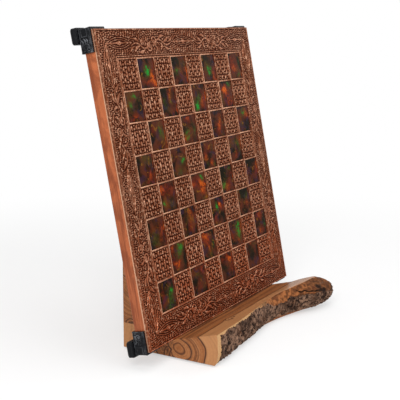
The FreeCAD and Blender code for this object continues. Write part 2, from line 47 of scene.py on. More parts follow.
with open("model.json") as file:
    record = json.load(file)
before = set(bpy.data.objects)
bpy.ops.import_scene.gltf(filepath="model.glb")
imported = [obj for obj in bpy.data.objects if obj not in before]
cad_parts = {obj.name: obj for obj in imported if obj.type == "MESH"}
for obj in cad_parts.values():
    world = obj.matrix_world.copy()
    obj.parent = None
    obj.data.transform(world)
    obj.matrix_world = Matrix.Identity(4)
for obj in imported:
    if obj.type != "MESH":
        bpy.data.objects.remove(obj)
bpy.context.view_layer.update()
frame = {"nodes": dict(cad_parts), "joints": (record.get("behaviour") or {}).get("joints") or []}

MM = 0.001
BOARD = "board"
STAND = "stand"
FACE_NODE = "copper_face_plate"
SQUARES = 8
FILES = "abcdefgh"
CORNERS = ("bottom_left", "top_left", "top_right", "bottom_right")
SIDES = ("bottom", "left", "top", "right")
SHADES = ("light", "dark")
ZERO = (0, 0, 0)


def node_points(name):
    """All vertices of a node of the frame, as rows of x, y and z."""
    mesh = frame["nodes"][name].data
    flat = np.empty(len(mesh.vertices) * 3, np.float32)
    mesh.vertices.foreach_get("co", flat)
    return flat.reshape(-1, 3).astype(float)


class BoardAxes:
    """The leaning board's own axes: across its face, into its depth and up its face.

    The board slides along its own up axis, so the joint gives the lean, and the face plate's
    reach along the three axes gives the lower front edge, the side and the thickness."""

    def __init__(self):
        self.up = np.array(frame["joints"][0]["axis"], float)
        across = np.array((1.0, 0.0, 0.0))
        self.depth = np.cross(self.up, across)
        self.axes = np.stack((across, self.depth, self.up))
        plate = node_points(FACE_NODE) @ self.axes.T
        low, high = plate.min(0), plate.max(0)
        self.side, self.sheet = (high - low)[:2] / MM
        self.origin = self.axes.T @ np.array(((low[0] + high[0]) / 2, low[1], low[2]))

    def place(self, across, depth, up):
        """World points of the given distances from the middle of the lower front edge."""
        return self.origin + np.stack(np.broadcast_arrays(across, depth, up), -1) * MM @ self.axes

    def reach(self, name):
        """Lowest and highest corner of a node along the board's axes."""
        local = (node_points(name) - self.origin) @ self.axes.T / MM
        return local.min(0), local.max(0)


board = BoardAxes()
HALF = board.side / 2
PITCH = (board.reach("enamel_square_c1")[0][0] - board.reach("enamel_square_a1")[0][0]) / 2
BORDER = (board.side - SQUARES * PITCH) / 2


def smooth_step(share):
    """Rise from 0 to 1 with level ends: three times the square less twice the cube."""
    share = np.clip(share, 0.0, 1.0)
    return share * share * (3 - 2 * share)


def plateau(place, low, high, soft):
    """1 between two places and 0 outside them, with edges of a soft width."""
    return smooth_step((place - low) / soft + 0.5) * smooth_step((high - place) / soft + 0.5)


def highest(*fields):
    """The greatest of several fields at every place."""
    return functools.reduce(np.maximum, fields)


def widened(grid, value=None):
    """A grid with one more column at both sides: its edge again, or one value."""
    ends = {"mode": "edge"} if value is None else {"constant_values": value}
    return np.pad(grid, ((0, 0), (1, 1)), **ends)


def turned(across, up, quarters):
    """Places on the board turned clockwise about the middle of its face by quarter turns."""
    x, z = across, up - HALF
    for _ in range(quarters):
        x, z = z, -x
    return x, z + HALF


def grid_quads(rows, columns, wrap):
    """Four-sided faces of a grid of points, whose last column may join its first."""
    row, place = np.meshgrid(np.arange(rows - 1), np.arange(columns - (not wrap)), indexing="ij")
    after = (place + 1) % columns
    return np.stack((row * columns + place, (row + 1) * columns + place,
                     (row + 1) * columns + after, row * columns + after), -1).reshape(-1, 4)


def tube(points):
    """Closed loops of points along a path, joined by quads and capped at both ends."""
    stations, loop = points.shape[:2]
    first = np.arange(loop)
    return (points.reshape(-1, 3), grid_quads(stations, loop, True),
            [first, (first + (stations - 1) * loop)[::-1]])


def joined(first, second):
    """Two sets of points, quads and caps as one set."""
    start = len(first[0])
    return (np.concatenate((first[0], second[0])), np.concatenate((first[1], second[1] + start)),
            first[2] + [cap + start for cap in second[2]])


def enclosed_volume(points, quads, caps):
    """Volume inside a closed shell: the sum of the signed pyramids from the origin."""
    fans = [np.column_stack((np.full(len(cap) - 2, cap[0]), cap[1:-1], cap[2:])) for cap in caps]
    corners = np.concatenate([quads[:, :3], quads[:, (0, 2, 3)]] + fans)
    a, b, c = (points[corners[:, k]] for k in range(3))
    return np.einsum("ij,ij->", a, np.cross(b, c)) / 6


def placed(name, data, place=ZERO, facing=Matrix()):
    """Put a new object into the scene, at a place and turned by a matrix."""
    made = bpy.data.objects.new(name, data)
    bpy.context.scene.collection.objects.link(made)
    made.matrix_world = Matrix.Translation(place) @ facing.to_4x4()
    return made


def make_piece(name, shell, material, values, replaced, body=BOARD, crease=40.0):
    """Turn a shell of points, quads and many-sided caps into a piece that rides on a body.

    Values come one for each point, or one for each face. A shell whose enclosed volume comes
    out negative is turned round, so faces point outwards. Edges that turn by more than the
    crease angle stay sharp."""
    points, quads, caps = shell
    if enclosed_volume(points, quads, caps) < 0:
        quads, caps = quads[:, ::-1], [cap[::-1] for cap in caps]
    mesh = bpy.data.meshes.new(name)
    mesh.from_pydata(points.tolist(), [], quads.tolist() + [cap.tolist() for cap in caps])
    for key, field in values.items():
        domain = "POINT" if np.size(field) == len(points) else "FACE"
        made = mesh.attributes.new(key, "FLOAT", domain)
        made.data.foreach_set("value", np.asarray(field, np.float32).reshape(-1))
    mesh.validate()
    mesh.polygons.foreach_set("use_smooth", np.ones(len(mesh.polygons), bool))
    mesh.set_sharp_from_angle(angle=math.radians(crease))
    mesh.materials.append(material)
    piece = placed(name, mesh)
    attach(piece, body)
    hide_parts(replaced)


def dress(names, material):
    """Give nodes of the frame one material."""
    for name in names:
        node = frame["nodes"][name]
        node.data.materials.clear()
        node.data.materials.append(material)


def hashed(cells, seed):
    """A number from -1 to 1 for each lattice cell, mixed from its three whole numbers."""
    mixed = cells[..., 0] * 73856093 ^ cells[..., 1] * 19349663 ^ cells[..., 2] * 83492791
    mixed = (mixed ^ seed * 374761393) & 0xFFFFFFFF
    mixed = ((mixed ^ mixed >> 13) * 1274126177) & 0xFFFFFFFF
    return ((mixed ^ mixed >> 16) & 0xFFFF) / 32767.5 - 1.0


def lattice_noise(points, seed):
    """Smooth uneven values: the eight corners of each cell blended with level ends."""
    floor = np.floor(points)
    share = smooth_step(points - floor)
    cells = floor.astype(np.int64)
    total = np.zeros(points.shape[:-1])
    for corner in np.ndindex(2, 2, 2):
        step = np.array(corner)
        weight = np.prod(np.where(step == 1, share, 1 - share), axis=-1)
        total += weight * hashed(cells + step, seed)
    return total


def layered_noise(points, octaves, seed):
    """Layers of lattice noise, each twice as fine and half as strong as the last."""
    return sum(lattice_noise(points * 2 ** octave, seed + octave) / 2 ** octave
               for octave in range(octaves))


def cell_gap(points, seed):
    """How much nearer the nearest of scattered lattice points is than the second nearest."""
    cells = np.floor(points).astype(np.int64)
    near = np.full(points.shape[:-1], 9.0)
    second = near.copy()
    for corner in np.ndindex(3, 3, 3):
        beside = cells + np.array(corner) - 1
        jitter = np.stack([hashed(beside, seed + axis) for axis in range(3)], -1)
        gap = np.linalg.norm(beside + 0.5 + 0.45 * jitter - points, axis=-1)
        second = np.minimum(second, np.maximum(near, gap))
        near = np.minimum(near, gap)
    return second - near


class Shade:
    """A socket of a material's nodes, with which sums are written as plain expressions."""

    def __init__(self, tree, socket=None):
        self.tree = tree
        self.socket = socket

    def node(self, kind, settings=None, inputs=None, output=0):
        """Add a node: its settings first, then its sockets' values or links."""
        made = self.tree.nodes.new("ShaderNode" + kind)
        for name, value in (settings or {}).items():
            setattr(made, name, value)
        for name, value in (inputs or {}).items():
            if isinstance(value, Shade):
                self.tree.links.new(value.socket, made.inputs[name])
            else:
                made.inputs[name].default_value = value
        return Shade(self.tree, made.outputs[output] if made.outputs else None)

    def math(self, operation, first, second=0.0):
        """Work out one step of arithmetic."""
        return self.node("Math", {"operation": operation}, {0: first, 1: second})

    def vectors(self, operation, *parts, output=0):
        """Work out one step of arithmetic on vectors."""
        return self.node("VectorMath", {"operation": operation}, dict(enumerate(parts)), output)

    def __add__(self, other):
        return self.math("ADD", self, other)

    def __sub__(self, other):
        return self.math("SUBTRACT", self, other)

    def __rsub__(self, other):
        return self.math("SUBTRACT", other, self)

    def __mul__(self, other):
        return self.math("MULTIPLY", self, other)

    def __abs__(self):
        return self.math("ABSOLUTE", self)

    __radd__ = __add__
    __rmul__ = __mul__

    def rise(self, low, high):
        """Rise from 0 to 1 with level ends as the value goes from low to high."""
        return self.node("MapRange", {"interpolation_type": "SMOOTHSTEP"},
                         {"Value": self, "From Min": low, "From Max": high})

    def blend(self, first, second):
        """Go from the first colour to the second as the value goes from 0 to 1."""
        ends = [end if isinstance(end, Shade) else (*end, 1.0) for end in (first, second)]
        return self.node("Mix", {"data_type": "RGBA"}, {0: self, 6: ends[0], 7: ends[1]}, 2)

    def places(self):
        """Object coordinates, which are the model's own metres."""
        return self.node("TexCoord", output=3)

    def attribute(self, name):
        """One of the mesh's own numbers."""
        return self.node("Attribute", {"attribute_name": name}, output=2)

    def stretched(self, scale=(1, 1, 1), turn=ZERO, shift=ZERO):
        """The vector moved and turned, and then stretched."""
        moved = self.vectors("ADD", self, shift)
        level = self.node("Mapping", {"vector_type": "POINT"}, {"Vector": moved, "Rotation": turn})
        return self.vectors("MULTIPLY", level, scale)

    def pushed(self, offset, amount):
        """The vector moved by another vector times an amount."""
        return self.vectors("MULTIPLY_ADD", offset, (amount,) * 3, self)

    def length(self):
        """The vector's length."""
        return self.vectors("LENGTH", self, output=1)

    def noise(self, scale, detail=3, distortion=0, output=0):
        """Cloudy noise over the vector."""
        return self.node("TexNoise", None, {"Vector": self, "Scale": scale, "Detail": detail,
                                            "Distortion": distortion}, output)

    def bands(self, scale, detail):
        """Uneven bands along one value."""
        return self.node("TexNoise", {"noise_dimensions": "1D"},
                         {"W": self, "Scale": scale, "Detail": detail})

    def part(self, axis):
        """One of the three numbers of a vector."""
        return self.node("SeparateXYZ", None, {0: self}, axis)


def colour_of(red, green, blue):
    """A screen colour from 0 to 255 as the light values that a shader takes."""
    return tuple((part / 255 / 12.92) if part < 11 else ((part / 255 + 0.055) / 1.055) ** 2.4
                 for part in (red, green, blue))


def new_material(name):
    """An empty node material, the start of its expressions and the object's coordinates."""
    material = bpy.data.materials.new(name)
    material.use_nodes = True
    material.node_tree.nodes.clear()
    start = Shade(material.node_tree)
    return material, start, start.places()


def finish_material(start, colour, roughness, height, rise, metallic=0.0, coat=0.0,
                    specular=0.5, edge=1.0):
    """Join colour, roughness and a bump height to the surface; edge tints grazing light."""
    bump = start.node("Bump", None, {"Height": height, "Distance": rise, "Strength": 1.0})
    surface = start.node("BsdfPrincipled", None, {
        "Base Color": colour, "Roughness": roughness, "Metallic": metallic, "Normal": bump,
        "Coat Weight": coat, "Coat Roughness": 0.25, "Specular IOR Level": specular,
        "Specular Tint": (edge, edge, edge, 1.0)})
    start.node("OutputMaterial", None, {"Surface": surface})


def shades(group, kind):
    """The light and the dark colour of one kind of material."""
    return [getattr(group, f"{kind}_{shade}") for shade in SHADES]


def painted(colour, *coats):
    """A colour with more colours laid over it, each by its own share."""
    for share, tint in coats:
        colour = share.blend(colour, tint)
    return colour


def discs(x, z, radius):
    """Rows of disc centres and radii along a stroke."""
    return np.stack(np.broadcast_arrays(x, z, radius), -1).reshape(-1, 3)


def stroke(start, middle, end, radii):
    """Discs along a curve bent towards a middle point, with radii given along the way."""
    share = np.linspace(0, 1, 26)
    spots = ((1 - share)[:, None] ** 2 * np.array(start)
             + (2 * share * (1 - share))[:, None] * np.array(middle)
             + (share ** 2)[:, None] * np.array(end))
    return discs(*spots.T, np.interp(share, np.linspace(0, 1, len(radii)), radii))


def spiral(centre, outside, inside, start, turns, radii):
    """Discs along a spiral that closes evenly on its centre, with a bud at its inner end."""
    share = np.linspace(0, 1, 90)
    angle = math.radians(start) + share * turns * 2 * np.pi
    away = outside + (inside - outside) * share
    wide = np.interp(share, np.linspace(0, 1, len(radii)), radii)
    return np.concatenate((discs(centre[0] + away * np.cos(angle),
                                 centre[1] + away * np.sin(angle), wide),
                           discs(*centre, inside * 0.78)))


def wires(strokes, spirals=(), knobs=()):
    """Discs of all the strokes, spirals and round knobs of an ornament."""
    return np.concatenate([stroke(*row) for row in strokes] + [spiral(*row) for row in spirals]
                          + [discs(*row) for row in knobs])


def wire_height(x, z, wires):
    """Height of blunt wires over the ground: a power of one less the square of the offset."""
    height = np.zeros(x.shape)
    for centre_x, centre_z, radius in wires:
        near = (np.abs(x - centre_x) < radius) & (np.abs(z - centre_z) < radius)
        gap = ((x[near] - centre_x) ** 2 + (z[near] - centre_z) ** 2) / radius ** 2
        height[near] = np.maximum(height[near], np.clip(1 - gap, 0, 1) ** 0.38)
    return height


# A leafy scroll: a waving stem, leaves on both sides and a spiral at one end.
SCROLL = wires((
    ((-20, -4), (-10, 9), (2, 1.5), (1.2, 1.5, 1.3)),
    ((2, 1.5), (12, -7), (24, 0.5), (1.3, 1.6, 0.8)),
    ((-5, 5.6), (0, 10.5), (9, 8.6), (1, 2.7, 0.8)),
    ((-1, -0.6), (3, -4.6), (-3, -9), (1, 2.5, 0.8)),
    ((6, 1), (12, 2), (17, 7.6), (1, 2.7, 0.8)),
    ((7, -4.8), (11, -9), (19, -8.6), (1, 2.4, 0.8)),
    ((19, 1.6), (24, 3), (28, 8), (0.9, 2.2, 0.7)),
    ((-14, -4.6), (-10, -7), (-12, -10.4), (1, 2.2, 0.8)),
), (((-18, 3), 6.4, 1.9, -70, 1.2, (1.4, 1.3, 1.3)),))
# One quarter of a relief square's ornament of leaves and knobs, from the middle outwards.
ROSETTE = wires((
    ((0, 4.4), (0.5, 7), (0, 9.6), (1, 2.1, 0.9)),
    ((5, 0), (6.6, 2.8), (5, 5.8), (2, 1.7, 0.9)),
    ((4.4, 12.4), (6.4, 14.6), (4.4, 17.2), (1, 2, 1.1)),
    ((10, 4.2), (12, 6.8), (10.2, 9.6), (1, 2.1, 1)),
    ((15.8, 0), (16.9, 2.4), (15.2, 5.2), (1.5, 1.6, 0.8)),
    ((14.8, 11.6), (16.8, 14), (15.4, 17), (0.9, 1.8, 1)),
), knobs=((0, 0, 2.3), (0, 13.4, 1.9), (0, 17.4, 1.1), (5.5, 9.2, 1.8), (10.8, 0, 2.2),
          (10.4, 13.2, 1.9), (10.2, 17.3, 1.2), (15.8, 8.5, 1.7)))
# The cast ornament on a foot's leg, over the distance from the leg's end and from the front.
FOOT_SCROLL = wires((
    ((0.9, 0), (0.9, 9), (0.9, 18), (0.6, 0.6)),
    ((5.6, 14.2), (11, 15.2), (14.6, 11.6), (0.9, 1.2, 0.5)),
    ((12.2, 6.4), (15.6, 5.6), (18.2, 8), (0.6, 1.3, 0.5)),
    ((12.8, 9.4), (16.6, 9.2), (18.6, 11.8), (0.6, 1.3, 0.5)),
    ((12.4, 12.6), (15.4, 13.4), (17.2, 15.2), (0.6, 1.2, 0.5)),
    ((2.6, 5.2), (3.4, 6.6), (2.4, 8.4), (0.6, 1, 0.5)),
    ((2.4, 11.6), (3.2, 13.4), (2.2, 14.8), (0.6, 1, 0.5)),
), (((7.6, 9.4), 4.9, 1.7, 250, 1.3, (0.95, 1, 1)),))


# Lengths on the face: the outer edge's round, the rim's width, a frame line's width and its
# distance from the squares, the ornament's middle, the scrolls' places along a side, the flat
# half of a ridge's top, a pocket's depth, and the step between points of the relief.
EDGE_ROUND = 1.2
RIM = 2.2
LINE = 1.2
LINE_GAP = 3.5
ORNAMENT_MIDDLE = 18.4
FAR_SCROLL, NEAR_SCROLL = 103, 56
RIDGE_FLAT = 0.75
POCKET = 3.3
RELIEF_STEP = 0.44
# How bright the copper is on the outer edge, its side, the crown of a pocket's left ridge and a
# pocket's floor, where the relief itself goes from 0 to 1. Above 1 the copper takes its painted
# highlight colour, so the side and the left crowns carry painted highlights.
EDGE_TONE, SIDE_PAINTED_HIGHLIGHT, CROWN_PAINTED_HIGHLIGHT, SUNK_TONE = 0.6, 1.8, 1.6, -0.6


def labyrinth(x, z):
    """Worm-like ground: the sum of plane waves of nearly one length and of every direction."""
    dice = np.random.default_rng(4)
    total = np.zeros(x.shape)
    for turn, length, shift in zip(dice.uniform(0, np.pi, 26), dice.uniform(2.35, 2.9, 26),
                                   dice.uniform(0, 2 * np.pi, 26)):
        total += np.cos((x * 0.52 * np.cos(turn) + z * np.sin(turn)) * 2 * np.pi / length + shift)
    return smooth_step((total / 3.6 + 0.14) / 0.8 + 0.5)


def scroll_marks(x, z):
    """Height of a scroll's wires and their cleared field, a little wider than the wires."""
    cleared = wire_height(x, z, SCROLL + (0, 0, 1.2)) * 2
    return wire_height(x, z, SCROLL), np.minimum(cleared, 1.0)


def lozenge_marks(outwards, inward, tall):
    """Raised marks of a small diamond with long thin arms inside two pointed outlines.

    The outlines are level lines of the distance inwards plus a parabola of that outwards."""
    run = np.where(outwards > 0, outwards / 48, -outwards / 27)
    size = np.abs(outwards) / 7.4 + np.abs(inward) / 3.1
    level = np.abs(inward) + tall * (outwards / 27) ** 2
    gaps = ((size - 1) * 2.6, np.abs(inward) - 1.15 + 0.7 * run + 9 * (run > 1),
            np.abs(level - tall) - 0.6, np.abs(level - tall * 0.6) - 0.55)
    return (highest(*(1 - smooth_step(gap / 0.4 + 0.5) for gap in gaps)),
            highest(*(1 - smooth_step((gap - 1.1) / 0.4 + 0.5) for gap in gaps)))


def border_relief(along, inward, quarters):
    """Height from 0, the ground, to 1, the rim, over one border of the face.

    Along is the distance from the middle of the side and inward that from the outer edge. The
    labyrinth fills the ground between the rim and the frame lines, and the ornaments stand in
    cleared fields of their own."""
    line_start = BORDER - LINE_GAP
    out, up = np.abs(along), inward - ORNAMENT_MIDDLE
    place = HALF - bpy.context.scene.chessboard_face.lozenge_place / MM
    height = labyrinth(*turned(along, inward, quarters)) * 0.72
    for marks, field in (lozenge_marks(out - place, up, 9.5 if quarters % 2 else 7.0),
                         lozenge_marks(out, up, 6.0),
                         scroll_marks(out - FAR_SCROLL, up - 3.6),
                         scroll_marks(NEAR_SCROLL - out, 1 - up)):
        height = height * (1 - field) + marks * field
    height *= plateau(inward, 2.9, line_start - 0.7, 0.4)
    rim = 1 - smooth_step((inward - RIM) / 0.5 + 0.5)
    band = smooth_step((inward - BORDER + LINE) / 0.4 + 0.5)
    return highest(height, rim, plateau(inward, line_start, line_start + LINE, 0.4), band)


def border_shell(quarters):
    """One mitred border of the face, a closed section carried from corner to corner.

    The section runs up the rounded outer edge, over the relief and down the inner wall, and
    each station is as long as the border is at that distance from the edge."""
    face = bpy.context.scene.chessboard_face
    bend = np.radians(np.linspace(0, 90, 6))[:-1]
    inward = np.concatenate((EDGE_ROUND * (1 - np.cos(bend)),
                             np.arange(EDGE_ROUND, BORDER, RELIEF_STEP), [BORDER]))
    station = np.linspace(-1, 1, 900)[:, None]
    along = station * (HALF - inward)
    relief = border_relief(along, np.broadcast_to(inward, along.shape), quarters)
    depth = (1 - relief) * face.ground_depth / MM + 0.08
    depth[:, :5] += EDGE_ROUND * (1 - np.sin(bend))
    side = station * HALF + np.zeros(3)
    wall = station * (HALF - BORDER)
    x = np.concatenate((side, along, wall), 1)
    d = np.concatenate((np.broadcast_to((board.sheet, POCKET, 3.0), side.shape), depth,
                        np.full_like(wall, board.sheet)), 1)
    z = np.concatenate((np.zeros(3), inward, [BORDER]))
    across, up = turned(x, np.broadcast_to(z, x.shape), quarters)
    value = np.pad(relief, ((0, 0), (3, 1)), mode="edge")
    value[:, 2:8] = EDGE_TONE
    # The plate's outer side carries a painted highlight.
    value[:, :2] = SIDE_PAINTED_HIGHLIGHT
    return tube(board.place(across, d, up)), {"relief": value}


def rank_shell(rank):
    """One row of squares: a height field over ridges, relief squares and enamel pockets.

    Across the row, pockets have few columns and relief squares many. The ornament is folded
    into one quarter of its square, and every row of points is closed round the back."""
    face = bpy.context.scene.chessboard_face
    half_ridge = face.ridge_width / MM / 2
    edge = np.array((0.0, 0.4, RIDGE_FLAT, half_ridge, half_ridge + 0.12))
    fine = np.linspace(half_ridge + 0.45, PITCH - half_ridge - 0.45, 78)
    relief_places = np.concatenate((edge, fine, PITCH - edge[::-1]))
    pocket_places = np.concatenate((edge, PITCH - edge[::-1]))
    columns = []
    for file in range(SQUARES):
        enamelled = (file + rank) % 2 == 0
        places = (pocket_places if enamelled else relief_places)[: None if file == 7 else -1]
        columns.append((places + file * PITCH, places, np.full(len(places), enamelled)))
    across, inside, kind = (np.concatenate(part) for part in zip(*columns))
    x, z = np.meshgrid(inside, relief_places)
    gap = np.minimum(np.minimum(x, PITCH - x), np.minimum(z, PITCH - z))
    ornament = wire_height(np.abs(x - PITCH / 2), np.abs(z - PITCH / 2), ROSETTE)
    ridge = 1 - smooth_step((gap - RIDGE_FLAT) / 0.7)
    height = np.maximum(ornament * 0.94, ridge)
    crest = 0.22 * (np.minimum(gap, half_ridge) / half_ridge) ** 2
    sunk = kind & (gap > half_ridge)
    depth = np.where(kind, np.where(sunk, POCKET, crest),
                     (1 - height) * face.relief_depth / MM + crest * ridge)
    flank = 1 - smooth_step((gap - 1.2) / 0.5)
    # The left ridge of each enamel pocket carries a painted highlight.
    crown = np.where(kind & (x < PITCH / 2), CROWN_PAINTED_HIGHLIGHT, 1.0)
    # On relief squares the power darkens the knobs' flanks as painted shade, and their tops, over
    # 1, take a painted highlight.
    value = np.where(kind, np.where(sunk, SUNK_TONE, crown),
                     highest(ornament ** 1.7 * 1.2, 0.1, flank * 1.02))
    x = widened(np.broadcast_to(across, depth.shape)) + BORDER - HALF
    z = (relief_places + BORDER + rank * PITCH)[:, None]
    points = board.place(x, widened(depth + 0.06, board.sheet), z)
    return tube(points), {"relief": widened(value, 0)}


def copper_material():
    """Satin aged copper: bright on the relief, dark brown in the ground, softly clouded, with
    painted glints, highlights and a red reflection.
    """
    face = bpy.context.scene.chessboard_face
    material, start, places = new_material("aged_copper")
    relief = start.attribute("relief")
    cloud = places.noise(38, 4)
    fine = places.noise(900, 3)
    # Painted glints: random granules of raised copper lit up in the painted highlight colour.
    painted_glint = places.noise(330, 1).rise(0.5, 0.68)
    worn = relief.rise(0.1, 0.95)
    # Redder copper towards the bottom of the face: a painted red reflection.
    low = 1 - places.part(2).rise(0.04, 0.2)
    bright = painted(face.copper_light, (cloud.rise(0.3, 0.72), face.copper_warm),
                     (low * (0.3 + 0.8 * cloud), face.copper_ruddy))
    colour = painted(face.copper_dark, (worn, bright),
                     (painted_glint * worn * 0.55, face.copper_edge),
                     # Over 1 the relief takes the painted highlight colour.
                     (relief.rise(1.0, 1.9), face.copper_edge))
    roughness = 0.46 - 0.18 * worn + 0.12 * (fine - 0.5)
    finish_material(start, colour, roughness, fine * 0.5 + places.noise(260, 2), 0.00012,
                    metallic=0.55, specular=0.1, edge=0.35)
    return material


class CHESSBOARD_OT_face(bpy.types.Operator):
    """Make the copper face: four embossed borders and eight rows of squares"""

    bl_idname = "chessboard.face"
    bl_label = "Copper face"

    def execute(self, context):
        copper = copper_material()
        made = [(f"border_{side}", border_shell(turn)) for turn, side in enumerate(SIDES)]
        made += [(f"rank_{rank + 1}", rank_shell(rank)) for rank in range(SQUARES)]
        for name, (shell, values) in made:
            make_piece(f"face_{name}", shell, copper, values, FACE_NODE)
        return {"FINISHED"}


# Drops of chosen squares: place across and up, half width and height, tilt, strength, and
# kind, which is 0 for green and 1 for fire.
FLAMES = {
    "b8": ((0, 0.1, 0.42, 0.4, -0.3, 1.2, 0), (0.6, -0.3, 0.36, 0.6, 0.25, 1, 1),
           (-0.1, -0.72, 0.6, 0.24, 0, 0.6, 1)),
    "a1": ((0.35, 0.1, 0.35, 0.55, -0.2, 0.9, 0), (0, -0.7, 0.6, 0.25, 0.2, 0.55, 0),
           (-0.6, 0.2, 0.3, 0.6, 0.1, 0.5, 1)),
    "e3": ((-0.1, 0.25, 0.2, 0.4, 0.3, 1, 0), (0.35, 0.3, 0.28, 0.35, -0.3, 1.2, 1),
           (-0.4, -0.5, 0.3, 0.3, 0.4, 0.6, 1)),
}


def flame_fields(x, z, square):
    """How green and how fiery the enamel is over one square, each from 0 upwards.

    Both are sums of soft drops: bells of the distance from a place, drawn out and tilted. The
    places are bent by slow noise first, which pulls the drops into flames. A dull red strip
    at the right is a painted reflection of the pocket's right wall in the glass."""
    seed = FILES.index(square[0]) * 8 + int(square[1])
    dice = np.random.default_rng(seed)
    # A painted reflection: the pocket's right wall as a red strip along the square's right edge.
    wall = np.stack((np.zeros_like(x), 0.42 * smooth_step((x - 0.8) / 0.12)))
    spots = np.stack((x * 1.5, z * 1.5, np.full_like(x, seed * 1.7)), -1)
    x = x + 0.22 * layered_noise(spots, 3, 3)
    z = z + 0.26 * layered_noise(spots, 3, 8)
    drops = FLAMES.get(square) or [
        (dice.uniform(-0.8, 0.8), dice.uniform(-0.9, 0.9), dice.uniform(0.25, 0.6),
         dice.uniform(0.25, 0.6), dice.uniform(-0.8, 0.8),
         0.84 * dice.uniform(0.35, 0.95) ** 2, kind) for kind in (0, 0, 0, 1, 1, 1, 1, 1)]
    fields = np.zeros((2, *x.shape))
    for middle, height, wide, tall, tilt, strength, kind in drops:
        across = (x - middle) * np.cos(tilt) + (z - height) * np.sin(tilt)
        up = (z - height) * np.cos(tilt) - (x - middle) * np.sin(tilt)
        fields[kind] += strength * np.exp(-((across / wide) ** 2 + (up / tall) ** 2) ** 0.8)
    # Flames fade towards the square's edges, leaving a darker rim: painted shade beside the
    # ridges.
    return fields * np.clip((1.04 - np.maximum(np.abs(x), np.abs(z))) / 0.2, 0.25, 1) + wall


def enamel_shell(square):
    """A fired panel: a low crown that flattens towards the middle, with rounded edges.

    The crown is one less the fourth power across times one less the fourth power up."""
    low, high = board.reach(f"enamel_square_{square}")
    share = np.concatenate(([0.0, 0.004, 0.012, 0.025], np.linspace(0.05, 0.95, 36),
                            [0.975, 0.988, 0.996, 1.0]))
    x, z = np.meshgrid(share * 2 - 1, share * 2 - 1)
    across = low[0] + (high[0] - low[0]) * (x + 1) / 2
    up = low[2] + (high[2] - low[2]) * (z + 1) / 2
    ripple = 0.03 * layered_noise(board.place(across, low[1], up) * 110, 2, 31)
    rise = bpy.context.scene.chessboard_face.enamel_crown / MM + ripple
    edge = np.maximum(np.abs(x), np.abs(z))
    depth = (low[1] - rise * (1 - x ** 4) * (1 - z ** 4)
             + 0.3 * np.clip((edge - 0.975) / 0.025, 0, 1) ** 2)
    green, fire = (widened(field) for field in flame_fields(x, z, square))
    points = board.place(widened(across), widened(depth, high[1]), widened(up))
    return tube(points), {"green": green, "fire": fire}


def enamel_material():
    """Glossy fired enamel: near-black brown with soft flames of green, orange and red, and a
    painted violet reflection.
    """
    face = bpy.context.scene.chessboard_face
    material, start, places = new_material("swirled_enamel")
    patch = places.noise(52, 4, 0.6)
    fleck = places.noise(250, 4, 0.8)
    fire = start.attribute("fire") * fleck.rise(0.12, 0.6)
    green = start.attribute("green") * (0.4 + 1.0 * patch) * fleck.rise(0.15, 0.6)
    hot = fire.rise(0.35, 1.1).blend(face.enamel_red, face.enamel_orange)
    lush = green.rise(0.3, 1.0).blend(face.enamel_moss, face.enamel_green)
    colour = painted(
        face.enamel_dark, (patch.rise(0.4, 0.6), face.enamel_brown),
        # Violet patches: a painted dark blue reflection.
        (places.noise(75, 3, 1).rise(0.52, 0.68) * 0.7, face.enamel_violet),
        (places.noise(95, 3, 1.2).rise(0.6, 0.72) * 0.6, face.enamel_ochre),
        (fire.rise(0.0, 0.9) * 0.95, hot), (green.rise(0.0, 0.8) * 0.95, lush))
    finish_material(start, colour, 0.2 + 0.1 * places.noise(1500, 1), places.noise(140, 2),
                    0.0002, specular=0.012)
    return material


class CHESSBOARD_OT_enamel(bpy.types.Operator):
    """Make the thirty-two fired enamel squares"""

    bl_idname = "chessboard.enamel"
    bl_label = "Enamel squares"

    def execute(self, context):
        glass = enamel_material()
        for file, letter in enumerate(FILES):
            for rank in range(file % 2, SQUARES, 2):
                square = f"{letter}{rank + 1}"
                shell, values = enamel_shell(square)
                make_piece(f"glaze_{square}", shell, glass, values,
                           f"enamel_square_{square}")
        return {"FINISHED"}


def straight_grain(name, kind, pith, scale, rough, turn=ZERO, gloss=0.0):
    """Wood whose rings lie round a straight pith line and whose pores run along it.

    Turn lays the grain along X. The ring distance is the length of the vector across the
    grain, bent by slow noise."""
    material, start, places = new_material(name)
    places = places.stretched(turn=turn)
    slow = places.stretched((0.25, 1, 1)).noise(9, 2, output=1)
    rings = places.pushed(slow, 0.02).stretched((0, 1, 1), shift=pith).length().bands(scale, 3)
    streaks = places.stretched((0.06, 1, 1)).noise(420, 3)
    pores = places.stretched((0.03, 1, 1)).noise(1500, 2)
    mottle = places.stretched((0.5, 1, 1)).noise(75, 4, 0.8).rise(0.44, 0.62)
    light, dark = shades(bpy.context.scene.chessboard_wood, kind)
    colour = painted(light, ((rings * 0.6 + streaks * 0.4).rise(0.36, 0.64), dark),
                     (mottle * 0.6, dark))
    finish_material(start, colour, rough + 0.2 * (streaks - 0.5), pores * 0.6 + streaks * 0.4,
                    0.00018, coat=gloss, specular=0.25)
    return material


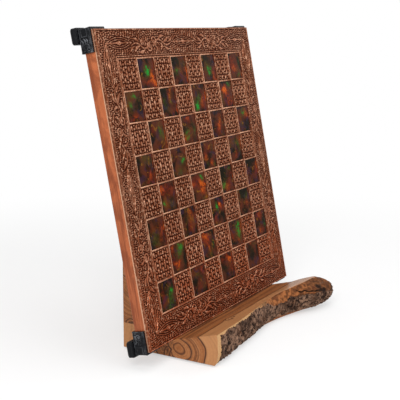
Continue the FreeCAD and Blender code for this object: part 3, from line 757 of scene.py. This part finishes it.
class CHESSBOARD_OT_board_body(bpy.types.Operator):
    """Finish the wooden rails, the core and the back panel of the board"""

    bl_idname = "chessboard.board_body"
    bl_label = "Wooden body"

    def execute(self, context):
        lean = math.atan2(board.up[1], board.up[2])
        upright = Matrix.Rotation(math.pi / 2, 3, "Y") @ Matrix.Rotation(lean, 3, "X")
        rails = (("upright", ("left", "right"), upright.to_euler()),
                 ("level", ("top", "bottom"), ZERO))
        for way, sides, turn in rails:
            dress([f"board_rail_{side}" for side in sides], straight_grain(
                f"rail_wood_{way}", "rail", (0, 0.05, 0.04), 260, 0.5, turn, 0.03))
        dress(("board_core_panel",),
              straight_grain("core_wood", "core", (0, 0.2, 0), 120, 0.7))
        dress(("board_back_panel",),
              straight_grain("back_wood", "back", (0, 0.12, -0.2), 150, 0.55, gloss=0.15))
        return {"FINISHED"}


# Lengths of a foot: its leg, how far it stands out and how far off the board it stays, where
# it starts and ends behind the face, its round, the flange under the board, and its middle.
FOOT_LEG = 27.5
FOOT_OUT = 2.6
FOOT_CLEAR = 0.04
FOOT_FRONT = 4.85
FLANGE_BACK = 22.45
FOOT_ROUND = 0.45
FLANGE_REACH = 16.0
FLANGE_INNER, FLANGE_OUTER = 15.2, 17.6
FOOT_MIDDLE = 4.75
# Half width of the neck and plinth, and depth behind the face, from the neck to the sole.
PLINTH = np.array((
    (9.2, 22.3), (8.7, 22.6), (8.35, 23), (8.3, 23.4), (8.5, 23.8), (9.3, 24.05), (9.9, 24.2),
    (10.2, 24.55), (10.3, 25.1), (10.3, 26.3), (10.1, 26.5), (10.1, 26.7), (10.3, 26.9),
    (10.3, 30.6), (10.15, 31.5), (9.8, 32.1), (9.3, 32.5)))


def leg_relief(run, front):
    """Height of a leg's casting: beads, a scroll with leaves, and a raised panel."""
    beads = (plateau(front, *reach, 0.6) for reach in ((0.7, 1.6), (2.5, 3.3), (16.2, 17)))
    panel = plateau(run, 20.4, 40, 0.8) * plateau(front, 5, 14.8, 0.8) * 0.6
    inner = plateau(run, 21.8, 40, 0.5) * plateau(front, 6.4, 13.4, 0.5) * 0.35
    return highest(*beads, panel - inner, wire_height(run, front, FOOT_SCROLL))


def bracket_shell(quarters):
    """The bracket: a section with its flange, carried round the corner of the board.

    For each offset from the board's side the path is a leg, a small round at the corner and
    a second leg. The ornament lifts the outer face, alike on both legs."""
    outer = np.linspace(FOOT_ROUND, FLANGE_BACK - FOOT_FRONT - FOOT_ROUND, 50)
    soft = np.radians((30, 60))
    inner = FOOT_OUT - FOOT_ROUND
    bevel = 0.4
    offset = np.concatenate(([FOOT_CLEAR, inner], inner + FOOT_ROUND * np.sin(soft),
                             np.full(50, FOOT_OUT), inner + FOOT_ROUND * np.cos(soft),
                             [inner, bevel - FLANGE_REACH, -FLANGE_REACH, -FLANGE_REACH,
                              FOOT_CLEAR]))
    depth = np.concatenate(([0.0, 0.0], FOOT_ROUND * (1 - np.cos(soft)), outer,
                            outer[-1] + FOOT_ROUND * np.sin(soft),
                            [FLANGE_OUTER, FLANGE_OUTER, FLANGE_OUTER - bevel,
                             FLANGE_INNER, FLANGE_INNER])) + FOOT_FRONT
    share = np.linspace(0, 1, 56)
    bend = np.radians(np.linspace(180, 270, 9))[1:-1, None]
    run = np.concatenate((share, np.ones(7), share[::-1])) * (FOOT_LEG + FOOT_OUT)
    lift = np.zeros((len(run), len(offset)))
    lift[:, 4:54] = leg_relief(*np.meshgrid(run, outer, indexing="ij")) * 0.75
    away = offset + lift
    radius = np.clip(offset, 0.0, 1.4)
    x, z = np.empty_like(away), np.empty_like(away)
    leg, corner, other = slice(56), slice(56, -56), slice(-56, None)
    rounded = radius + lift[corner]
    x[leg] = -HALF - away[leg]
    z[leg] = FOOT_LEG + share[:, None] * (radius - offset - FOOT_LEG)
    x[corner] = -HALF - offset + radius + rounded * np.cos(bend)
    z[corner] = radius - offset + rounded * np.sin(bend)
    x[other] = -HALF + FOOT_LEG + share[::-1, None] * (radius - offset - FOOT_LEG)
    z[other] = -away[other]
    across, up = turned(x, z, quarters)
    return tube(board.place(across, depth, up)), lift


def plinth_shell(quarters):
    """The neck and plinth: rounded squares stacked along a turned profile.

    Each square is a curve whose tenth powers across and up add to that of its half side."""
    angle = np.linspace(0, 2 * np.pi, 161)[:-1]
    reach = (np.abs(np.cos(angle)) ** 10 + np.abs(np.sin(angle)) ** 10) ** -0.1
    x = PLINTH[:, :1] * reach * np.cos(angle) + FOOT_MIDDLE - HALF
    z = PLINTH[:, :1] * reach * np.sin(angle) + FOOT_MIDDLE
    across, up = turned(x, z, quarters)
    return tube(board.place(across, PLINTH[:, 1:], up))


def black_metal_material():
    """Satin black cast metal, a little brighter on its raised parts: partly wear, partly a painted
    highlight.
    """
    foot = bpy.context.scene.chessboard_feet
    material, start, places = new_material("black_cast_metal")
    cloud = places.noise(120, 3)
    # Raised casting painted lighter: partly wear, partly a painted highlight.
    rubbed = start.attribute("lift").rise(0.2, 0.7) * cloud.rise(0.3, 0.7)
    colour = (rubbed * 0.8).blend(foot.metal_dark, foot.metal_rubbed)
    roughness = 0.44 - 0.12 * rubbed + 0.15 * (cloud - 0.5)
    finish_material(start, colour, roughness, places.noise(2600, 2), 0.0001, metallic=0.3,
                    specular=0.3, edge=0.5)
    return material


class CHESSBOARD_OT_feet(bpy.types.Operator):
    """Make the four cast corner feet"""

    bl_idname = "chessboard.feet"
    bl_label = "Corner feet"

    def execute(self, context):
        metal = black_metal_material()
        for quarters, corner in enumerate(CORNERS):
            bracket, lift = bracket_shell(quarters)
            plinth = plinth_shell(quarters)
            lifts = np.append(lift, np.zeros(len(plinth[0])))
            make_piece(f"cast_foot_{corner}", joined(bracket, plinth), metal,
                       {"lift": lifts}, f"corner_foot_{corner}", crease=50.0)
        return {"FINISHED"}


SLAB_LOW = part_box("stand_base_slab")[0].z
STAND_LEFT, _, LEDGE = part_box("stand_back_rest")[0]
STAND_RIGHT, STAND_BACK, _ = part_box("stand_back_rest")[1]
EDGE_Y, SEAT_Z = board.origin[1:]
# The seat's length behind the face, the ramp's slope, the height of the plank's top and that
# of the natural edge's widest level, in metres.
SEAT_REACH = 0.0203
RAMP_RISE = math.tan(math.radians(15.6))
PLANK_TOP = 0.0445
WIDEST = 0.026
# Natural edge of the slab: distance along it and in front of the board, in millimetres, at the
# ground, at the widest level and at the top.
NATURAL_EDGE = np.array((
    (-166, 62, -166, 65, -166, 64), (-140, 58, -140, 64.2, -140, 62),
    (-112, 54.5, -112, 63.4, -112, 61), (-79, 52.3, -79, 61.2, -79, 59),
    (-24, 47.5, -24, 56, -24, 51), (10, 44, 10, 52, 10, 45), (36, 44.5, 36, 50.5, 38, 40),
    (70, 49.5, 70, 54, 74, 34), (100, 57, 98, 66, 104, 42), (125, 63, 122, 81, 126, 50),
    (142, 64, 145, 89, 143, 54), (152, 62, 167, 91, 152, 64), (158, 55, 181, 84, 156, 67),
    (156, 45, 184, 69, 157, 59), (151, 38, 168, 47, 146.5, 47), (146, 32, 146, 32, 146, 32),
)) * MM


# Knots of the slab and of the rest: place and size.
SLAB_KNOTS = ((STAND_LEFT, EDGE_Y + 0.01, 0.008), 0.007), ((-0.062, -0.045, 0.036), 0.006)
REST_KNOTS = ((STAND_LEFT, STAND_BACK - 0.011, LEDGE), 0.007), ((0.03, 0.045, 0.15), 0.01)


def smooth_path(knots):
    """A curve through points whose slope at each is half the step between its neighbours."""
    ends = np.concatenate((2 * knots[:1] - knots[1:2], knots, 2 * knots[-1:] - knots[-2:-1]))
    share = np.linspace(0, 1, 80, endpoint=False)[None, :, None]
    a, b, c, d = (ends[k:len(ends) - 3 + k, None, :] for k in range(4))
    curve = 0.5 * (2 * b + (c - a) * share + (2 * a - 5 * b + 4 * c - d) * share ** 2
                   + (3 * b - a - 3 * c + d) * share ** 3)
    return np.concatenate((curve.reshape(-1, knots.shape[1]), knots[-1:]))


def edge_levels(count):
    """Stations along the natural edge at its three levels, evenly spaced along the widest."""
    path = smooth_path(NATURAL_EDGE)
    run = np.concatenate(([0.0], np.cumsum(np.hypot(*np.diff(path[:, 2:4], axis=0).T))))
    start = np.interp(STAND_LEFT, path[:150, 2], run[:150])
    at = np.linspace(start, run[-1], count)
    return np.stack([np.interp(at, run, column) for column in path.T], -1).reshape(-1, 3, 2)


def edge_points(levels, angle):
    """Points of the natural edge: two quarter ellipses, below and above the widest level."""
    wide = levels[:, None, 1]
    end = np.where((angle > 0)[..., None], levels[:, None, 2], levels[:, None, 0])
    place = wide + (end - wide) * (1 - np.cos(angle))[..., None]
    limit = np.where(angle > 0, PLANK_TOP, SLAB_LOW)
    height = WIDEST + (limit - WIDEST) * np.abs(np.sin(angle))
    return np.stack((place[..., 0], EDGE_Y - place[..., 1], height), -1)


def natural_edge(count, rows):
    """The natural edge as stations by rows, from the ground up to the planed ramp."""
    levels = edge_levels(count)
    trial = np.radians(np.linspace(-90, 90, 721))
    spots = edge_points(levels, np.broadcast_to(trial, (count, len(trial))))
    above = spots[..., 2] > SEAT_Z + RAMP_RISE * (EDGE_Y - spots[..., 1])
    first = np.where(above.any(1), above.argmax(1), len(trial) - 1)
    angle = -np.pi / 2 + (trial[first] + np.pi / 2)[:, None] * rows
    points = edge_points(levels, angle)
    points[:, -1, 2] = np.minimum(SEAT_Z + RAMP_RISE * (EDGE_Y - points[:, -1, 1]), PLANK_TOP)
    points[0, :, 0] = STAND_LEFT
    return points


def bark_fields(points):
    """Where the bark covers the natural edge, how deep its cracks are, which also sets their
    painted shade, and its swelling.

    Bark leaves bare a strip at the saw cut, one along the planed top, which widens towards
    the right, and one along the bottom. Plates of bark stand between cracks drawn out
    upwards, lumps and hollows swell it slowly, and a long crack runs along the round end."""
    x, z = points[..., 0], points[..., 2]
    share = (z - SLAB_LOW) / (points[:, -1:, 2] - SLAB_LOW)
    wander = layered_noise(points * 70, 4, 5)
    ragged = layered_noise(points * 210, 3, 15)
    fine = layered_noise(points * 420, 3, 40)
    lumps = layered_noise(points * 60, 3, 21)
    right = smooth_step((x - 0.005) / 0.055)
    upper = 0.94 - 0.27 * right + 0.07 * wander + 0.04 * ragged
    lower = -0.04 + 0.13 * right + 0.04 * wander + 0.03 * ragged
    bare_end = STAND_LEFT + 0.007 + 0.004 * (1 - share) + 0.003 * wander + 0.002 * ragged
    cover = plateau(share, lower, upper, 0.05) * smooth_step((x - bare_end) / 0.002 + 0.5)
    lobe = smooth_step((x - 0.12) / 0.02)
    cover = np.maximum(cover, lobe * 0.52 * smooth_step((1.0 - share + 0.25 * wander) / 0.3))
    cover *= 1 - 0.35 * lobe * smooth_step((wander * 0.7 + ragged * 0.6 - 0.2) / 0.3)
    drawn = points * (118, 118, 100) + layered_noise(points * 90, 3, 9)[..., None] * 0.8
    plates = np.clip(cell_gap(drawn, 3) / 0.36, 0, 1)
    swell = 0.55 * smooth_step(plates) + 0.45 * lumps + 0.3 * fine
    crack_line = 0.0365 - 0.09 * (x - 0.1) + 0.0026 * layered_noise(points * 110, 3, 60)
    crack = np.exp(-((z - crack_line) / (0.0011 + 0.02 * np.maximum(x - 0.1, 0))) ** 2)
    crack *= plateau(x, 0.1, 0.149, 0.01) * (1.5 + 0.6 * fine)
    hollow = 1.12 * np.exp(-((x - 0.139) / 0.006) ** 2 - ((z - 0.0375) / 0.003) ** 2)
    rim = np.exp(-((upper - share) / 0.035) ** 2) * right * smooth_step(wander + 0.6)
    seams = cover * smooth_step((0.22 - plates + 0.6 * lumps + 0.25 * fine) / 0.6)
    # Cracks, the hollow, the seams between plates and the line along the bark's upper edge sink
    # into the shape and are painted dark: partly their own dark, partly painted shade.
    crack_and_shade = highest(crack, hollow, seams, rim * 0.6)
    lift = cover * (swell - 0.3) + (1 - cover) * (0.25 * lumps + 0.1 * fine - 0.35) - 0.8 * crack_and_shade
    return cover, crack_and_shade, lift


def slab_shell():
    """The whole slab: its natural edge as a grid, and its planed and sawn faces flat.

    The grid is pushed in and out as bark along its own normals, less and less towards the
    planed top, the ground and the saw cuts."""
    rows = np.concatenate((np.linspace(0, 0.985, 76), [0.993, 1.0]))
    points = natural_edge(470, rows)
    cover, crack_and_shade, lift = bark_fields(points)
    normal = np.cross(np.gradient(points, axis=0), np.gradient(points, axis=1))
    normal /= np.linalg.norm(normal, axis=-1, keepdims=True) + 1e-12
    normal[:2, :, 0] = 0.0
    ease = np.ones_like(lift) * smooth_step((1 - rows) / 0.05) * smooth_step(rows / 0.05)
    ease[-8:] *= np.linspace(1, 0, 8)[:, None]
    depth = bpy.context.scene.chessboard_wood.bark_depth
    points = points + normal * (lift * ease)[..., None] * depth
    points[0, :, 0] = STAND_LEFT
    heel = EDGE_Y + SEAT_REACH * board.depth[1], SEAT_Z + SEAT_REACH * board.depth[2]
    step = heel[0] + (LEDGE - heel[1]) * board.up[1] / board.up[2]
    profile = np.array(((EDGE_Y, SEAT_Z), heel, (step, LEDGE), (STAND_BACK, LEDGE),
                        (STAND_BACK, SLAB_LOW)))
    ends = [np.column_stack((np.full(5, x), profile)) for x in (STAND_LEFT, STAND_RIGHT)]
    count, tall = points.shape[:2]
    quads = grid_quads(count, tall, False)
    index = np.arange(count * tall).reshape(count, tall)
    left, right = (index.size + k + np.arange(5) for k in (0, 5))
    caps = [np.append(index[0], left), np.append(index[-1], right)[::-1],
            np.append(index[:, -1], (right[0], left[0])),
            np.append(index[:, 0], (right[4], left[4]))[::-1]]
    caps += [np.array((left[k], right[k], right[k + 1], left[k + 1])) for k in range(4)]
    values = {"bark": np.append(cover, np.zeros(10)), "crack_and_shade": np.append(crack_and_shade * ease, np.zeros(10)),
              "skin": np.append(np.ones(len(quads)), np.zeros(len(caps)))}
    return (np.concatenate((points.reshape(-1, 3), *ends)), quads, caps), values


def bark_finish(start, places, wood):
    """Colour and height of the natural edge: bark plates, cracks darkened partly as painted shade,
    and bare ruddy skin.
    """
    along = places.part(0)
    grit = places.stretched((1, 1, 0.7)).noise(420, 4)
    flesh = places.noise(150, 4, 0.6)
    ruddy = places.noise(60, 4, 1)
    warm = painted(wood.skin_light, (flesh.rise(0.4, 0.62), wood.skin_brown),
                   (ruddy.rise(0.52, 0.7) * 0.6, wood.skin_red),
                   (along.rise(0.1, 0.15) * 0.45, wood.bark_dark))
    plates = painted(
        wood.bark_dark, ((flesh * 0.62 + grit * 0.38).rise(0.42, 0.58), wood.bark_light),
        (ruddy.rise(0.5, 0.7) * 0.5, wood.skin_brown),
        (places.noise(30, 3, 0.5).rise(0.44, 0.62) * 0.65, wood.bark_dark))
    colour = painted(wood.olive_sapwood, (along.rise(-0.06, 0.05), warm),
                     (start.attribute("bark").rise(0.3, 0.7), plates),
                     # Cracks painted near black: partly their own dark, partly painted shade.
                     (start.attribute("crack_and_shade").rise(0.1, 0.9) * 0.9, wood.bark_pit))
    return colour, grit * 2.4 + flesh * 2.0


def olive_wood(name, pith, heart, knots, bark):
    """Olive wood: tan and brown rings round a pith line, dark threads, knots, and bark.

    The ring distance is measured across the slab from the pith. Knots push the rings aside
    round them. Threads are drawn where bands of the ring distance cross their middle, and a
    dark line bounds the heartwood; beyond it the wood is plain and pale."""
    wood = bpy.context.scene.chessboard_wood
    material, start, places = new_material(name)
    slow = places.stretched((0.2, 1, 1)).noise(26, 2, output=1)
    ring = places.pushed(slow, 0.013).stretched((0, 0.8, 1), shift=pith).length()
    spots = []
    for spot, size in knots:
        bent = places.pushed(places.noise(70, 2, output=1), 0.016)
        shift = tuple(-part - 0.008 for part in spot)
        spots.append((bent.stretched((0.5, 1, 1), shift=shift).length(), size))
        ring = ring + (1 - spots[-1][0].rise(0.0, size * 1.7)) * (size * 0.9)
    beyond = ring.rise(heart - 0.001, heart + 0.002)
    tone = ring.bands(250, 2)
    thread = (1 - abs(ring.bands(210, 1) - 0.5).rise(0.004, 0.035)) * (0.5 - 0.4 * beyond)
    for place, strength in ((1.0, 1.0), (0.73, 0.6), (0.464, 1.0), (0.23, 0.8)):
        line = (1 - abs(ring - heart * place).rise(0.0003, 0.0014)) * strength
        thread = start.math("MAXIMUM", thread, line)
    streaks = places.stretched((0.05, 1, 1)).noise(360, 3, 0.3)
    colour = painted(
        wood.olive_light, (tone.rise(0.36, 0.66), wood.olive_honey),
        (streaks.rise(0.46, 0.7) * 0.4, wood.olive_brown),
        (places.noise(21, 3).rise(0.48, 0.7) * 0.35, wood.olive_brown),
        (beyond * 0.6, wood.olive_pale), (thread * 0.9, wood.olive_dark))
    for knot, size in spots:
        dark = start.math("MAXIMUM", 1 - knot.rise(size * 0.1, size * 0.5),
                          1 - abs(knot - size * 0.85).rise(0.0004, 0.0014))
        colour = (dark * 0.85).blend(colour, wood.olive_dark)
    roughness = 0.42 + 0.16 * (streaks - 0.5)
    height = streaks * 0.5 + tone * 0.3
    coat = 0.22
    if bark:
        skin = start.attribute("skin")
        natural, swell = bark_finish(start, places, wood)
        colour = skin.rise(0.4, 0.6).blend(colour, natural)
        roughness = roughness + 0.4 * skin
        height = height * (1 - skin) + swell * skin
        coat = coat - coat * skin
    finish_material(start, colour, roughness, height, 0.0003, coat=coat, specular=0.1)
    return material


class CHESSBOARD_OT_slab(bpy.types.Operator):
    """Make the natural-edge slab of the stand"""

    bl_idname = "chessboard.slab"
    bl_label = "Natural-edge slab"

    def execute(self, context):
        shell, values = slab_shell()
        material = olive_wood("olive_slab", (0, 0.001 - EDGE_Y, -0.021), 0.0293, SLAB_KNOTS,
                              True)
        make_piece("natural_edge_slab", shell, material, values,
                   "stand_base_slab", STAND, 50.0)
        return {"FINISHED"}


class CHESSBOARD_OT_rest(bpy.types.Operator):
    """Finish the upright rest and its dowels"""

    bl_idname = "chessboard.rest"
    bl_label = "Upright rest"

    def execute(self, context):
        dress(("stand_back_rest",),
              olive_wood("olive_rest", (0, -0.02, -0.16), 0.3, REST_KNOTS, False))
        dress(("rest_dowels",), straight_grain(
            "dowel_wood", "core", (0, 0.01, 0), 400, 0.6, (0, math.pi / 2, 0)))
        return {"FINISHED"}


class CHESSBOARD_OT_fittings(bpy.types.Operator):
    """Finish the felt pads, the rubber buttons and the screws"""

    bl_idname = "chessboard.fittings"
    bl_label = "Pads and screws"

    def execute(self, context):
        feet = context.scene.chessboard_feet
        for look, kind, nodes, rough, metallic, scale, rise in (
                ("grey", "felt", "foot_pad_", 0.9, 0.0, 2600, 2e-4),
                ("black", "rubber", "stand_pad_", 0.7, 0.0, 900, 2e-4),
                ("screw", "steel", "foot_screws", 0.38, 0.9, 1500, 5e-5)):
            material, start, places = new_material(f"{look}_{kind}")
            speck = places.noise(scale, 4)
            tone = (speck * 0.6 + places.noise(scale / 12, 2) * 0.4).rise(0.35, 0.65)
            light, dark = shades(feet, kind)
            finish_material(start, tone.blend(dark, light), rough + 0.2 * (speck - 0.5), speck,
                            rise, metallic=metallic)
            dress([node for node in frame["nodes"] if node.startswith(nodes)], material)
        return {"FINISHED"}


def seen_directly(start):
    """1 for rays of the camera, of reflections and through glass, and 0 for those of light."""
    rays = start.node("LightPath").socket.node.outputs
    camera, glossy, through = (Shade(start.tree, rays[f"Is {kind} Ray"])
                               for kind in ("Camera", "Glossy", "Transmission"))
    return camera + glossy + through


def floor_material():
    """Pale floor that keeps shadows, shown nearly white to the camera."""
    material, start, places = new_material("pale_floor")
    mottle = places.noise(30, 2)
    plain = start.node("BsdfPrincipled", None, {
        "Base Color": mottle.blend((0.93,) * 3, (0.95,) * 3), "Roughness": 0.7 + 0.1 * mottle,
        "Specular IOR Level": 0.2})
    glow = start.node("Emission", None, {"Color": (1, 1, 1, 1), "Strength": 1.0})
    far = places.length().rise(0.35, 1.1)
    share = start.node("Math", {"operation": "MULTIPLY", "use_clamp": True},
                       {0: seen_directly(start), 1: 0.5 + 0.5 * far})
    mixed = start.node("MixShader", None, {0: share, 1: plain, 2: glow})
    start.node("OutputMaterial", None, {"Surface": mixed})
    return material


def make_world(level):
    """A world that is white to the eye and in reflections, and lights the object softly."""
    world = bpy.data.worlds.new("studio")
    world.use_nodes = True
    world.node_tree.nodes.clear()
    start = Shade(world.node_tree)
    soft, white = (start.node("Background", None, {"Color": (1, 1, 1, 1), "Strength": strength})
                   for strength in (level, 1.0))
    mixed = start.node("MixShader", None, {0: seen_directly(start), 1: soft, 2: white})
    start.node("OutputWorld", None, {"Surface": mixed})
    bpy.context.scene.world = world


# Half the floor's side and its rows of points, and where the lamps point.
FLOOR_REACH = 3.0
FLOOR_ROWS = 25
AIM = Vector((0.0, 0.0, 0.2))


class CHESSBOARD_OT_stage(bpy.types.Operator):
    """Set up the floor, the lamps and the camera"""

    bl_idname = "chessboard.stage"
    bl_label = "Stage"

    def execute(self, context):
        scene = context.scene
        stage = scene.chessboard_stage
        side = np.linspace(-FLOOR_REACH, FLOOR_REACH, FLOOR_ROWS)
        points = np.stack(np.meshgrid(side, side, 0.0, indexing="ij"), -1).reshape(-1, 3)
        quads = grid_quads(FLOOR_ROWS, FLOOR_ROWS, False)
        mesh = bpy.data.meshes.new("floor")
        mesh.from_pydata(points.tolist(), [], quads.tolist())
        mesh.materials.append(floor_material())
        floor = placed("floor", mesh)
        make_world(stage.sky_level)
        for name, place, size, power in (
                ("key_lamp", (-1.5, -0.55, 1.25), 0.9, stage.key_power),
                ("front_lamp", (-0.4, -1.9, 0.9), 1.4, stage.fill_power),
                ("top_lamp", (-0.1, -0.4, 1.9), 1.2, stage.fill_power * 0.6),
                ("right_lamp", (1.6, -0.9, 1.1), 1.4, stage.fill_power * 0.6)):
            lamp = bpy.data.lights.new(name, "AREA")
            lamp.shape = "SQUARE"
            lamp.size = size
            lamp.energy = power
            facing = (AIM - Vector(place)).to_track_quat("-Z", "Y")
            placed(name, lamp, place, facing.to_matrix())
        camera = bpy.data.cameras.new("camera")
        camera.lens = stage.lens
        camera.sensor_width = 36.0
        camera.clip_start = 0.05
        level = Euler((math.pi / 2 - stage.camera_rise, 0.0, stage.camera_turn)).to_matrix()
        scene.camera = placed("camera", camera, stage.camera_place,
                              level @ Matrix.Rotation(stage.camera_roll, 3, "Z"))
        scene.view_settings.view_transform = "Standard"
        return {"FINISHED"}


def title(key):
    """The name that a setting shows."""
    return key.replace("_", " ").capitalize()


def numbers(table, **kind):
    """Numbers of one kind that a user may change, from what each says and its default."""
    return {key: FloatProperty(name=title(key), description=text, default=default, **kind)
            for key, (text, default) in table.items()}


def lengths(table):
    """Lengths in metres that a user may change."""
    return numbers(table, unit="LENGTH", subtype="DISTANCE")


def colours(table):
    """Colours that a user may change, from what each says and its parts from 0 to 255."""
    return {key: FloatVectorProperty(name=title(key), description=text, subtype="COLOR", size=3,
                                     min=0.0, max=1.0, default=colour_of(*parts))
            for key, (text, *parts) in table.items()}


def grains(table):
    """Light and dark colours of materials, from what each is and its two colours."""
    return colours({f"{kind}_{shade}": (f"{shade.capitalize()} grain of {text}", *parts)
                    for kind, (text, *pair) in table.items()
                    for shade, parts in zip(SHADES, pair)})


class ChessboardFace(bpy.types.PropertyGroup):
    """Sizes and colours of the copper face and its enamel"""

    __annotations__ = lengths({
        "ridge_width": ("Width of the ridges between squares", 0.0022),
        "ground_depth": ("How deep the border's ground lies", 0.0012),
        "relief_depth": ("How deep a relief square's ground lies", 0.0017),
        "lozenge_place": ("Distance of a lozenge from the corner", 0.0465),
        "enamel_crown": ("Rise of an enamel square's middle", 0.00045),
    }) | colours({
        "copper_light": ("Copper where it is rubbed", 138, 89, 66),
        "copper_warm": ("Copper where it is less rubbed", 113, 63, 40),
        "copper_dark": ("Copper in the sunk ground", 60, 21, 5),
        # A painted reflection colour, laid on the copper towards the bottom of the face.
        "copper_ruddy": ("Redder copper low on the face", 146, 72, 42),
        # A painted highlight colour, for glints and for lit sides, ridges and knob tops.
        "copper_edge": ("Copper along the outer edge", 209, 162, 132),
        "enamel_dark": ("Ground colour of the enamel", 23, 18, 9),
        "enamel_brown": ("Lighter ground of the enamel", 74, 36, 22),
        # A painted reflection colour, shown as violet patches.
        "enamel_violet": ("Cool shade in the enamel", 46, 30, 46),
        "enamel_ochre": ("Yellow flecks in the enamel", 128, 84, 24),
        "enamel_green": ("Bright green flames", 24, 128, 42),
        "enamel_moss": ("Grey green flames", 48, 62, 20),
        "enamel_red": ("Red flames", 112, 36, 18),
        "enamel_orange": ("Orange flames", 186, 84, 20),
    })


class ChessboardWood(bpy.types.PropertyGroup):
    """Sizes and colours of the wooden pieces"""

    __annotations__ = lengths({
        "bark_depth": ("How far the bark stands in and out", 0.0020),
    }) | grains({
        "rail": ("the rails", (178, 98, 58), (118, 56, 28)),
        "core": ("the core and the dowels", (206, 176, 136), (170, 132, 92)),
        "back": ("the back panel", (168, 108, 72), (112, 62, 38)),
    }) | colours({
        "olive_light": ("Lightest rings", 168, 110, 66),
        "olive_pale": ("Wood outside the heart", 188, 136, 90),
        "olive_honey": ("Middle rings", 140, 84, 44),
        "olive_brown": ("Dark heart streaks", 112, 64, 34),
        "olive_dark": ("Dark threads", 62, 34, 22),
        "olive_sapwood": ("Pale wood under the bark", 186, 144, 100),
        "skin_light": ("Smooth skin beside the bark", 152, 94, 54),
        "skin_brown": ("Shaded smooth skin", 92, 54, 30),
        "skin_red": ("Reddish mottles of the skin", 104, 46, 24),
        "bark_light": ("Plates of the bark", 136, 104, 84),
        "bark_dark": ("Shaded bark", 50, 34, 26),
        # Near-black crack colour: partly the cracks' own dark, partly painted shade.
        "bark_pit": ("Cracks of the bark", 20, 13, 10),
    })


class ChessboardFeet(bpy.types.PropertyGroup):
    """Colours of the cast feet, the pads and the screws"""

    __annotations__ = colours({
        "metal_dark": ("The feet's satin black", 16, 17, 20),
        # Colour of the raised casting: partly wear, partly a painted highlight.
        "metal_rubbed": ("Where the casting is rubbed", 104, 106, 110),
    }) | grains({
        "felt": ("the felt pads", (70, 66, 62), (38, 36, 34)),
        "rubber": ("the rubber pads", (34, 34, 35), (18, 18, 19)),
        "steel": ("the screws", (150, 148, 145), (96, 94, 92)),
    })


class ChessboardStage(bpy.types.PropertyGroup):
    """Camera and lamps"""

    __annotations__ = {"camera_place": FloatVectorProperty(
        name="Camera place", description="Where the camera stands", subtype="TRANSLATION",
        size=3, unit="LENGTH", default=(-1.0914, -0.5899, 0.4265))}
    __annotations__ |= numbers({
        "camera_turn": ("Turn round the object", math.radians(-60.15)),
        "camera_rise": ("Angle above the object", math.radians(11.09)),
        "camera_roll": ("Tilt of the frame", math.radians(0.2)),
    }, subtype="ANGLE", unit="ROTATION")
    __annotations__ |= numbers({"lens": ("Focal length", 81.7)}, unit="CAMERA")
    __annotations__ |= numbers({
        "key_power": ("Power of the lamp at the left", 20.0),
        "fill_power": ("Power of the other lamps", 12.0),
    }, unit="POWER")
    __annotations__ |= numbers({"sky_level": ("Level of the light all round", 0.5)}, min=0.0)


SETTINGS = (("chessboard_face", ChessboardFace), ("chessboard_wood", ChessboardWood),
            ("chessboard_feet", ChessboardFeet), ("chessboard_stage", ChessboardStage))
STEPS = (CHESSBOARD_OT_stage, CHESSBOARD_OT_face, CHESSBOARD_OT_enamel,
         CHESSBOARD_OT_board_body, CHESSBOARD_OT_feet, CHESSBOARD_OT_slab, CHESSBOARD_OT_rest,
         CHESSBOARD_OT_fittings)


class CHESSBOARD_PT_panel(bpy.types.Panel):
    """Settings and making steps of the chessboard"""

    bl_idname = "CHESSBOARD_PT_panel"
    bl_label = "Enamel Chessboard"
    bl_space_type = "VIEW_3D"
    bl_region_type = "UI"
    bl_category = "Chessboard"

    def draw(self, context):
        for name, group in SETTINGS:
            box = self.layout.box()
            box.label(text=group.__doc__)
            for setting in group.__annotations__:
                box.prop(getattr(context.scene, name), setting)
        for step in STEPS:
            self.layout.operator(step.bl_idname)


def register():
    """Register the settings, the steps and the panel."""
    for name, group in SETTINGS:
        bpy.utils.register_class(group)
        setattr(bpy.types.Scene, name, PointerProperty(type=group))
    for step in (*STEPS, CHESSBOARD_PT_panel):
        bpy.utils.register_class(step)


def unregister():
    """Take the settings, the steps and the panel away again."""
    for step in (CHESSBOARD_PT_panel, *reversed(STEPS)):
        bpy.utils.unregister_class(step)
    for name, group in reversed(SETTINGS):
        delattr(bpy.types.Scene, name)
        bpy.utils.unregister_class(group)


def main():
    """Build everything."""
    register()
    for step in STEPS:
        area, name = step.bl_idname.split(".")
        getattr(getattr(bpy.ops, area), name)()


if __name__ == "__main__":
    main()
